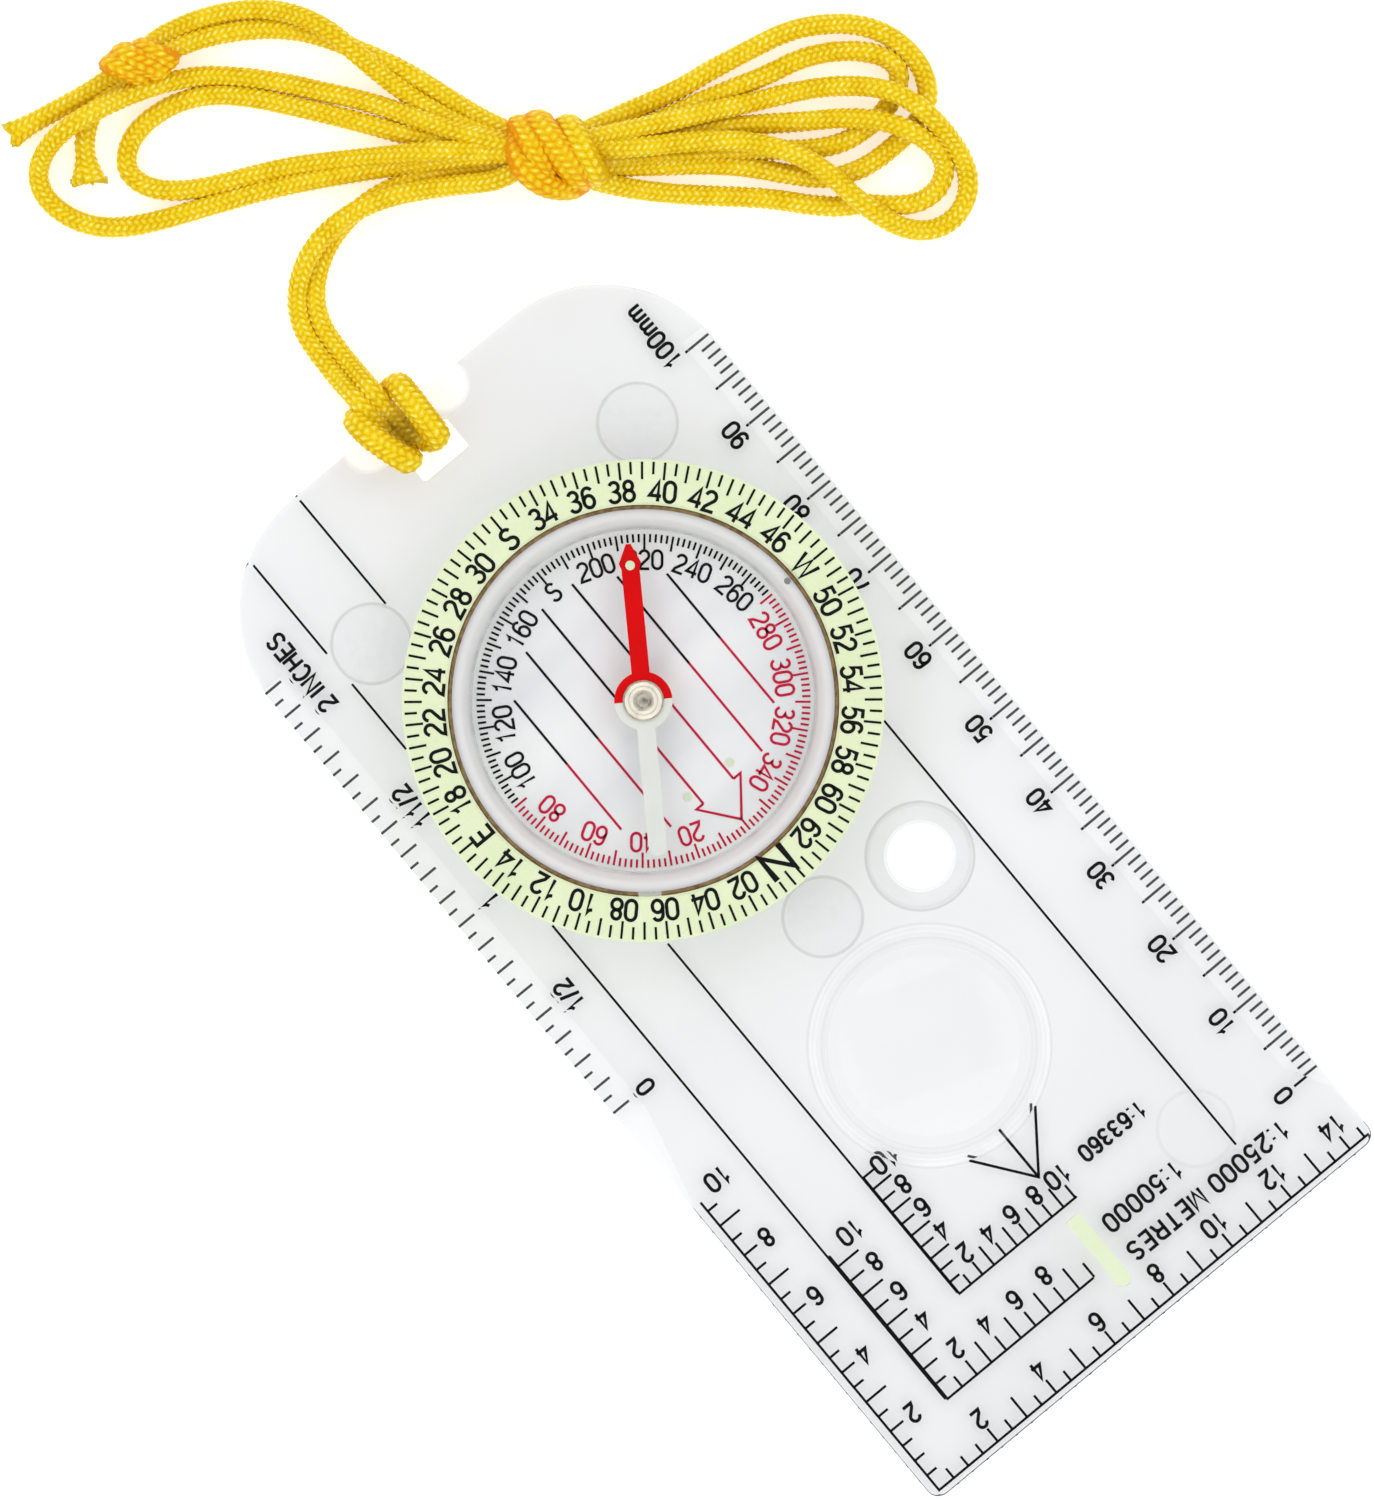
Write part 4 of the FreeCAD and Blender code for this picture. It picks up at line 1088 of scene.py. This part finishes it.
def even_steps(line: np.ndarray, step: float) -> tuple[np.ndarray, np.ndarray]:
    """Reads a line again at even steps along itself.

    Args:
        line: its points.
        step: metres between the new points.

    Returns:
        The points, and how far along the line each is.
    """
    gone = np.concatenate([[0.0], np.cumsum(np.linalg.norm(np.diff(line, axis=0), axis=1))])
    along = np.linspace(0.0, gone[-1], max(4, round(gone[-1] / step)))
    return np.stack([np.interp(along, gone, line[:, i]) for i in range(3)], axis=1), along


@dataclass
class BraidedCord:
    """How a length of the cord is braided."""

    diameter: float = 2.1
    columns: int = 10
    pitch: float = 0.74
    slant: float = 0.5
    relief: float = 0.22
    swell: float = 0.03
    around: int = 40
    step: float = 0.18
    wide: float = 1.15
    thin: float = 0.85
    # Share of painted crease shade on the sides of a pressed turn.
    stain: float = 0.9

    def weave(self, along: np.ndarray, turn: np.ndarray) -> np.ndarray:
        """Height of the braid, 0 in its valleys and 1 on its crowns.

        Args:
            along: millimetres along the cord.
            turn: turns round the cord, 0 to 1.

        Returns:
            The heights.
        """
        column = turn * self.columns + 0.7 * np.sin(along / 8.3) + 0.3 * np.sin(along / 3.1)
        across = column - np.floor(column)
        lean = np.where(np.floor(column) % 2 > 0.5, self.slant, -self.slant)
        shift = np.where(np.floor(column) % 2 > 0.5, 0.36, 0.0)
        row = along / self.pitch + shift + lean * (across - 0.5) + 0.12 * np.sin(along / 1.7 + 9 * turn)
        stitch = 0.5 - 0.5 * np.cos(math.tau * row)
        uneven = np.random.default_rng(3).uniform(0.68, 1.0, 509)
        level = uneven[(np.floor(row).astype(int) * 17 + np.floor(column).astype(int) % self.columns * 5) % 509]
        return np.clip(np.sin(np.pi * across), 0, 1) ** 0.7 * stitch * level

    def tube(
        self, name: str, line: np.ndarray, flare: float = 0.0, look: Look = Look.CORD, press: Flat | None = None,
    ) -> Piece:
        """Sweeps the braid along a line.

        Args:
            name: the piece's name.
            line: points read from the route's spline, in metres.
            flare: how much wider and more ragged the cut end is, as a share.
            look: its finish.
            press: level direction in which a drawn-tight turn is spread flat, and in which its sides are darkened with
                painted crease shade.

        Returns:
            The cord's mesh object.
        """
        spots, along = even_steps(line, self.step * MM)
        count, around = len(spots), self.around
        ahead = np.gradient(spots, axis=0)
        ahead /= np.linalg.norm(ahead, axis=1)[:, None]
        side = np.zeros_like(ahead)
        side[0] = np.cross(ahead[0], (0.0, 0.0, 1.0))
        side[0] /= np.linalg.norm(side[0])
        for i in range(1, count):
            moved = side[i - 1] - ahead[i] * (side[i - 1] @ ahead[i])
            side[i] = moved / np.linalg.norm(moved)
        up = np.cross(side, ahead)
        turn = np.arange(around) / around
        mm = along[:, None] / MM
        high = self.weave(mm, turn[None, :])
        radius = (self.diameter / 2 + self.swell - self.relief * 0.55 + self.relief * high) * MM
        cos, sin = np.cos(turn * math.tau), np.sin(turn * math.tau)
        out = radius[:, :, None] * (cos[None, :, None] * side[:, None, :] + sin[None, :, None] * up[:, None, :])
        tone = high
        if press is not None:
            # Painted shade: the sides that face along the bundle get a darker tone, where the turns press together.
            flat = np.array((*press, 0.0))
            crease_shade_mask = np.abs((out * flat).sum(2)) / radius
            tone = high - self.stain * np.clip((crease_shade_mask - 0.55) / 0.45, 0, 1)
            out = out * self.thin + flat * (out * flat).sum(2)[:, :, None] * (self.wide - self.thin)
        if flare:
            near_end = np.clip(1 - (along[-1] - along) / (3.0 * MM), 0, 1) ** 1.5
            level = np.cross(ahead, (0.0, 0.0, 1.0))
            level /= np.linalg.norm(level, axis=1)[:, None]
            wide = (out * level[:, None, :]).sum(2)
            out += level[:, None, :] * (wide * near_end[:, None] * flare)[:, :, None]
            ragged = np.random.default_rng(7).uniform(-0.5, 0.5, around)
            out += ahead[:, None, :] * (near_end[:, None] ** 3 * ragged[None, :] * MM)[:, :, None]
        ring = spots[:, None, :] + out
        points = np.concatenate([ring.reshape(-1, 3), spots[:1], spots[-1:]])
        row, column = np.meshgrid(np.arange(count - 1), np.arange(around), indexing="ij")
        after = (column + 1) % around
        here, beyond = row * around, (row + 1) * around
        quads = np.stack([here + column, here + after, beyond + after, beyond + column], axis=-1).reshape(-1, 4)
        ends = [(count * around, (i + 1) % around, i) for i in range(around)]
        last = (count - 1) * around
        ends += [(count * around + 1, last + i, last + (i + 1) % around) for i in range(around)]
        made = piece_from(name, points, quads.tolist() + ends, look, smooth=True)
        mesh = made.data
        # The weave attribute holds the braid height, lowered by any painted crease shade; the finish turns it into
        # painted highlight and painted shade.
        height = mesh.attributes.new("weave", "FLOAT", "POINT")
        height.data.foreach_set("value", np.concatenate([tone.ravel(), [0.3, 0.3]]).astype(np.float32))
        uv = mesh.uv_layers.new(name="strand")
        turns = np.stack([column, column + 1, column + 1, column], axis=-1) / around * 3.3
        far = np.stack([mm[row, 0], mm[row, 0], mm[row + 1, 0], mm[row + 1, 0]], axis=-1) * 0.5
        flat = np.stack([turns, far], axis=-1).reshape(-1, 2)
        caps = np.full((len(ends) * 3, 2), 0.5)
        uv.data.foreach_set("uv", np.concatenate([flat, caps]).astype(np.float32).ravel())
        return made


@dataclass
class Lanyard:
    """The yellow cord: its hitch on the bar, the hank, its tie and its end knot."""

    braid: BraidedCord = field(default_factory=BraidedCord)

    def length_of(self, line: np.ndarray) -> float:
        """Length of a line in metres."""
        return float(np.linalg.norm(np.diff(line, axis=0), axis=1).sum())

    def piece(
        self, name: str, points: list[Point], nodes: list[str], flare: float = 0.0, braid: BraidedCord | None = None,
    ) -> tuple[Piece, np.ndarray]:
        """Makes one length of cord that stands for CAD nodes.

        Args:
            name: the piece's name.
            points: its route.
            nodes: the nodes it replaces.
            flare: how much its cut end spreads.
            braid: how it is braided, if not like the rest.

        Returns:
            The piece and the line that it follows.
        """
        line = spline_line(points)
        tube = (braid or self.braid).tube(name, line, flare, press=(1.0, 0.0) if braid else None)
        made = keep(tube, Body.BASE)
        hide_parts(*nodes)
        return made, line

    def spot(self, middle: Point, axis: Flat, along: float, across: float, height: float) -> Point:
        """The point that lies along and across a bundle's level axis from its middle, at a height."""
        east, north = axis[0] * along + axis[1] * across, axis[1] * along - axis[0] * across
        return (middle[0] + east, middle[1] + north, height)

    def turn(self, name: str, route: list[Point], diameter: float, press: Flat, look: Look = Look.TIGHT) -> Piece:
        """Makes one drawn-tight turn of a knot.

        Args:
            name: the piece's name.
            route: its route's points.
            diameter: its width.
            press: level direction in which the other turns press on it, and in which its sides get painted crease
                shade.
            look: its finish.

        Returns:
            The piece.
        """
        made = BraidedCord(diameter=diameter, relief=0.17).tube(name, spline_line(route), look=look, press=press)
        return keep(made, Body.BASE)

    def wrap(self, middle: Point, axis: Flat, half: Flat, lean: float, start: float) -> list[Point]:
        """Points of one turn round a bundle.

        Args:
            middle: the bundle's middle.
            axis: the bundle's level direction, of length 1.
            half: half width and half height of the turn's centre line.
            lean: how far along the axis the turn runs while it crosses half the bundle.
            start: how far along the axis its middle is.

        Returns:
            The points in order.
        """
        made = []
        for i in range(17):
            a = math.radians(-100 + i * 24)
            along, across, lift = lean * math.cos(a) + start, half[0] * math.cos(a), half[1] * math.sin(a)
            made.append(self.spot(middle, axis, along, across, middle[2] + lift))
        return made

    def hank_tie(self) -> list[Piece]:
        """The turns of cord that tie the hank."""
        middle, axis = (-29.3, -72.7, 4.1), (-0.77, 0.64)
        made = [
            self.turn(name, self.wrap(middle, axis, half, lean, start), diameter, axis, look)
            for name, half, lean, start, diameter, look in (
                ("hank_tie_far", (2.7, 2.5), 1.4, 3.2, 2.7, Look.CORD),
                ("hank_tie_middle", (3.1, 2.8), 2.2, 0.8, 2.9, Look.TIGHT),
                ("hank_tie_near", (2.8, 2.6), 1.5, -1.7, 2.4, Look.TIGHT),
            )
        ]
        lobe = (
            (3.2, 2.4, 1.9), (2.7, 3.6, 3.0), (1.2, 4.1, 4.6), (-0.7, 3.7, 5.8),
            (-2.3, 2.3, 6.0), (-3.1, 0.5, 5.4), (-3.1, -1.2, 4.2), (-2.8, -2.4, 2.6),
        )
        made.append(self.turn("hank_tie_lobe", [self.spot(middle, axis, *place) for place in lobe], 3.0, axis))
        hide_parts("hank_knot")
        return made

    def end_knot(self) -> list[Piece]:
        """The knot that joins the two ends."""
        middle, axis = (-2.3, -107.35, 3.15), (0.98, -0.2)
        made = [
            self.turn(name, self.wrap(middle, axis, half, lean, start), diameter, axis)
            for name, half, lean, start, diameter in (
                ("end_knot_full_turn", (1.75, 1.7), 1.3, 0.1, 2.5),
                ("end_knot_short_turn", (1.35, 1.45), 1.0, -1.55, 2.3),
                ("end_knot_over_turn", (1.4, 1.5), 1.1, 1.8, 2.3),
            )
        ]
        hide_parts("end_knot")
        return made

    def build(self) -> None:
        # The hitch turns are pressed flat, with a little painted crease shade on their sides.
        pressed = BraidedCord(diameter=2.3, wide=1.22, thin=0.92, stain=0.3)
        hitch, hitch_line = self.piece("hitch_turns", HITCH, ["lanyard_hitch"], braid=pressed)
        nodes_a = ["lanyard_lead_a", "lanyard_end_a", "lanyard_tail_a", "hank_far_loops"]
        nodes_b = ["lanyard_lead_b", "lanyard_end_b", "lanyard_tail_b", "hank_near_loops"]
        a, line_a = self.piece("cord_strand_a", LEAD_A + FAR_A + NEAR_A + TOP_A + END_A, nodes_a, 0.35)
        b, line_b = self.piece("cord_strand_b", LEAD_B + FAR_B + NEAR_B + TOP_B + END_B, nodes_b, 0.8)
        ties = self.hank_tie()
        knot = self.end_knot()
        lengths = [self.length_of(line) for line in (line_a, line_b, hitch_line)]
        LOG.info("strand a %.4f m, strand b %.4f m, hitch %.4f m", *lengths)


# ---------------------------------------------------------------- studio


@dataclass
class Studio:
    """Pale floor, soft light and the camera."""

    floor_size: float = 6.0
    floor_drop: float = 0.1
    distance: float = 0.9
    frame_height: float = 157.0
    aim: Point = (-0.224, 6.87, 3.6)
    heading: float = 140.31
    horizon: float = 0.8
    middle: float = 1.1
    zenith: float = 0.06
    lamp_power: float = 1.7
    lamp_size: float = 1.1
    lamp_far: float = 1.3

    def floor(self) -> None:
        """Lays the floor."""
        half = self.floor_size / 2
        points = np.array([(-half, -half, 0), (half, -half, 0), (half, half, 0), (-half, half, 0)], float)
        points[:, 2] = -self.floor_drop * MM
        piece_from("studio_floor", points, [(0, 1, 2, 3)], Look.FLOOR)

    def sky(self) -> None:
        """Surrounds the set with a tent of light, brightest half way up and dark overhead."""
        world = bpy.data.worlds.new("studio")
        world.use_nodes = True
        tree = world.node_tree
        tree.nodes.clear()
        where = add(tree, "ShaderNodeTexCoord").outputs["Generated"]
        height = add(tree, "ShaderNodeSeparateXYZ", {0: where}).outputs["Z"]
        rises = {0: height, 1: 0.15, 2: 0.45, 3: self.horizon, 4: self.middle}
        falls = {0: height, 1: 0.8, 2: 0.96, 3: self.middle, 4: self.zenith}
        rising, falling = (add(tree, "ShaderNodeMapRange", part).outputs[0] for part in (rises, falls))
        tone = maths(tree, "MINIMUM", rising, falling)
        light = add(tree, "ShaderNodeBackground", {"Color": (1, 1, 1, 1), "Strength": tone})
        add(tree, "ShaderNodeOutputWorld", {0: light.outputs[0]})
        bpy.context.scene.world = world

    def lamp(self, name: str, bearing: float, lift: float, power: float) -> None:
        """Hangs a soft lamp aimed at the compass.

        Args:
            name: its name.
            bearing: degrees clockwise from +Y.
            lift: degrees above the floor.
            power: watts.
        """
        data = bpy.data.lights.new(name, "AREA")
        data.energy, data.size = power, self.lamp_size
        made = bpy.data.objects.new(name, data)
        a, e = math.radians(bearing), math.radians(lift)
        made.location = Vector((math.sin(a) * math.cos(e), math.cos(a) * math.cos(e), math.sin(e))) * self.lamp_far
        made.rotation_euler = (-Vector(made.location)).to_track_quat("-Z", "Y").to_euler()
        bpy.context.scene.collection.objects.link(made)

    def lights(self) -> None:
        """Hangs the four soft lamps."""
        for name, bearing, lift, share in (
            ("lamp_front", 20, 52, 1.1), ("lamp_right", 110, 48, 0.8),
            ("lamp_back", 200, 52, 1.1), ("lamp_left", 290, 48, 0.8),
        ):
            self.lamp(name, bearing, lift, self.lamp_power * share)

    def camera(self) -> None:
        """Looks straight down on the compass, turned as it lies on the table."""
        low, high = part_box("bezel_ring")
        middle = (low + high) / 2
        data = bpy.data.cameras.new("camera")
        data.sensor_width = 36.0
        data.lens = data.sensor_width * self.distance / (self.frame_height * MM)
        data.clip_start, data.clip_end = 0.01, 20.0
        made = bpy.data.objects.new("camera", data)
        turn = Matrix.Rotation(math.radians(self.heading), 4, "Z")
        aim = Vector(self.aim) * MM
        spot = Vector((middle.x + aim.x, middle.y + aim.y, aim.z + self.distance))
        made.matrix_world = Matrix.Translation(spot) @ turn
        bpy.context.scene.collection.objects.link(made)
        bpy.context.scene.camera = made

    def build(self) -> None:
        """Sets up the whole studio."""
        self.floor()
        self.sky()
        self.lights()
        self.camera()
        bpy.context.scene.view_settings.view_transform = "Standard"


def main() -> None:
    """Builds the compass's looks in order."""
    logging.basicConfig(level=logging.INFO, format="%(name)s %(message)s")
    Studio().build()
    Lanyard().build()
    plate = Baseplate()
    plate.dress()
    plate.draw()
    dial = Dial()
    dial.dress()
    dial.draw()
    Needle().dress()


if __name__ == "__main__":
    main()
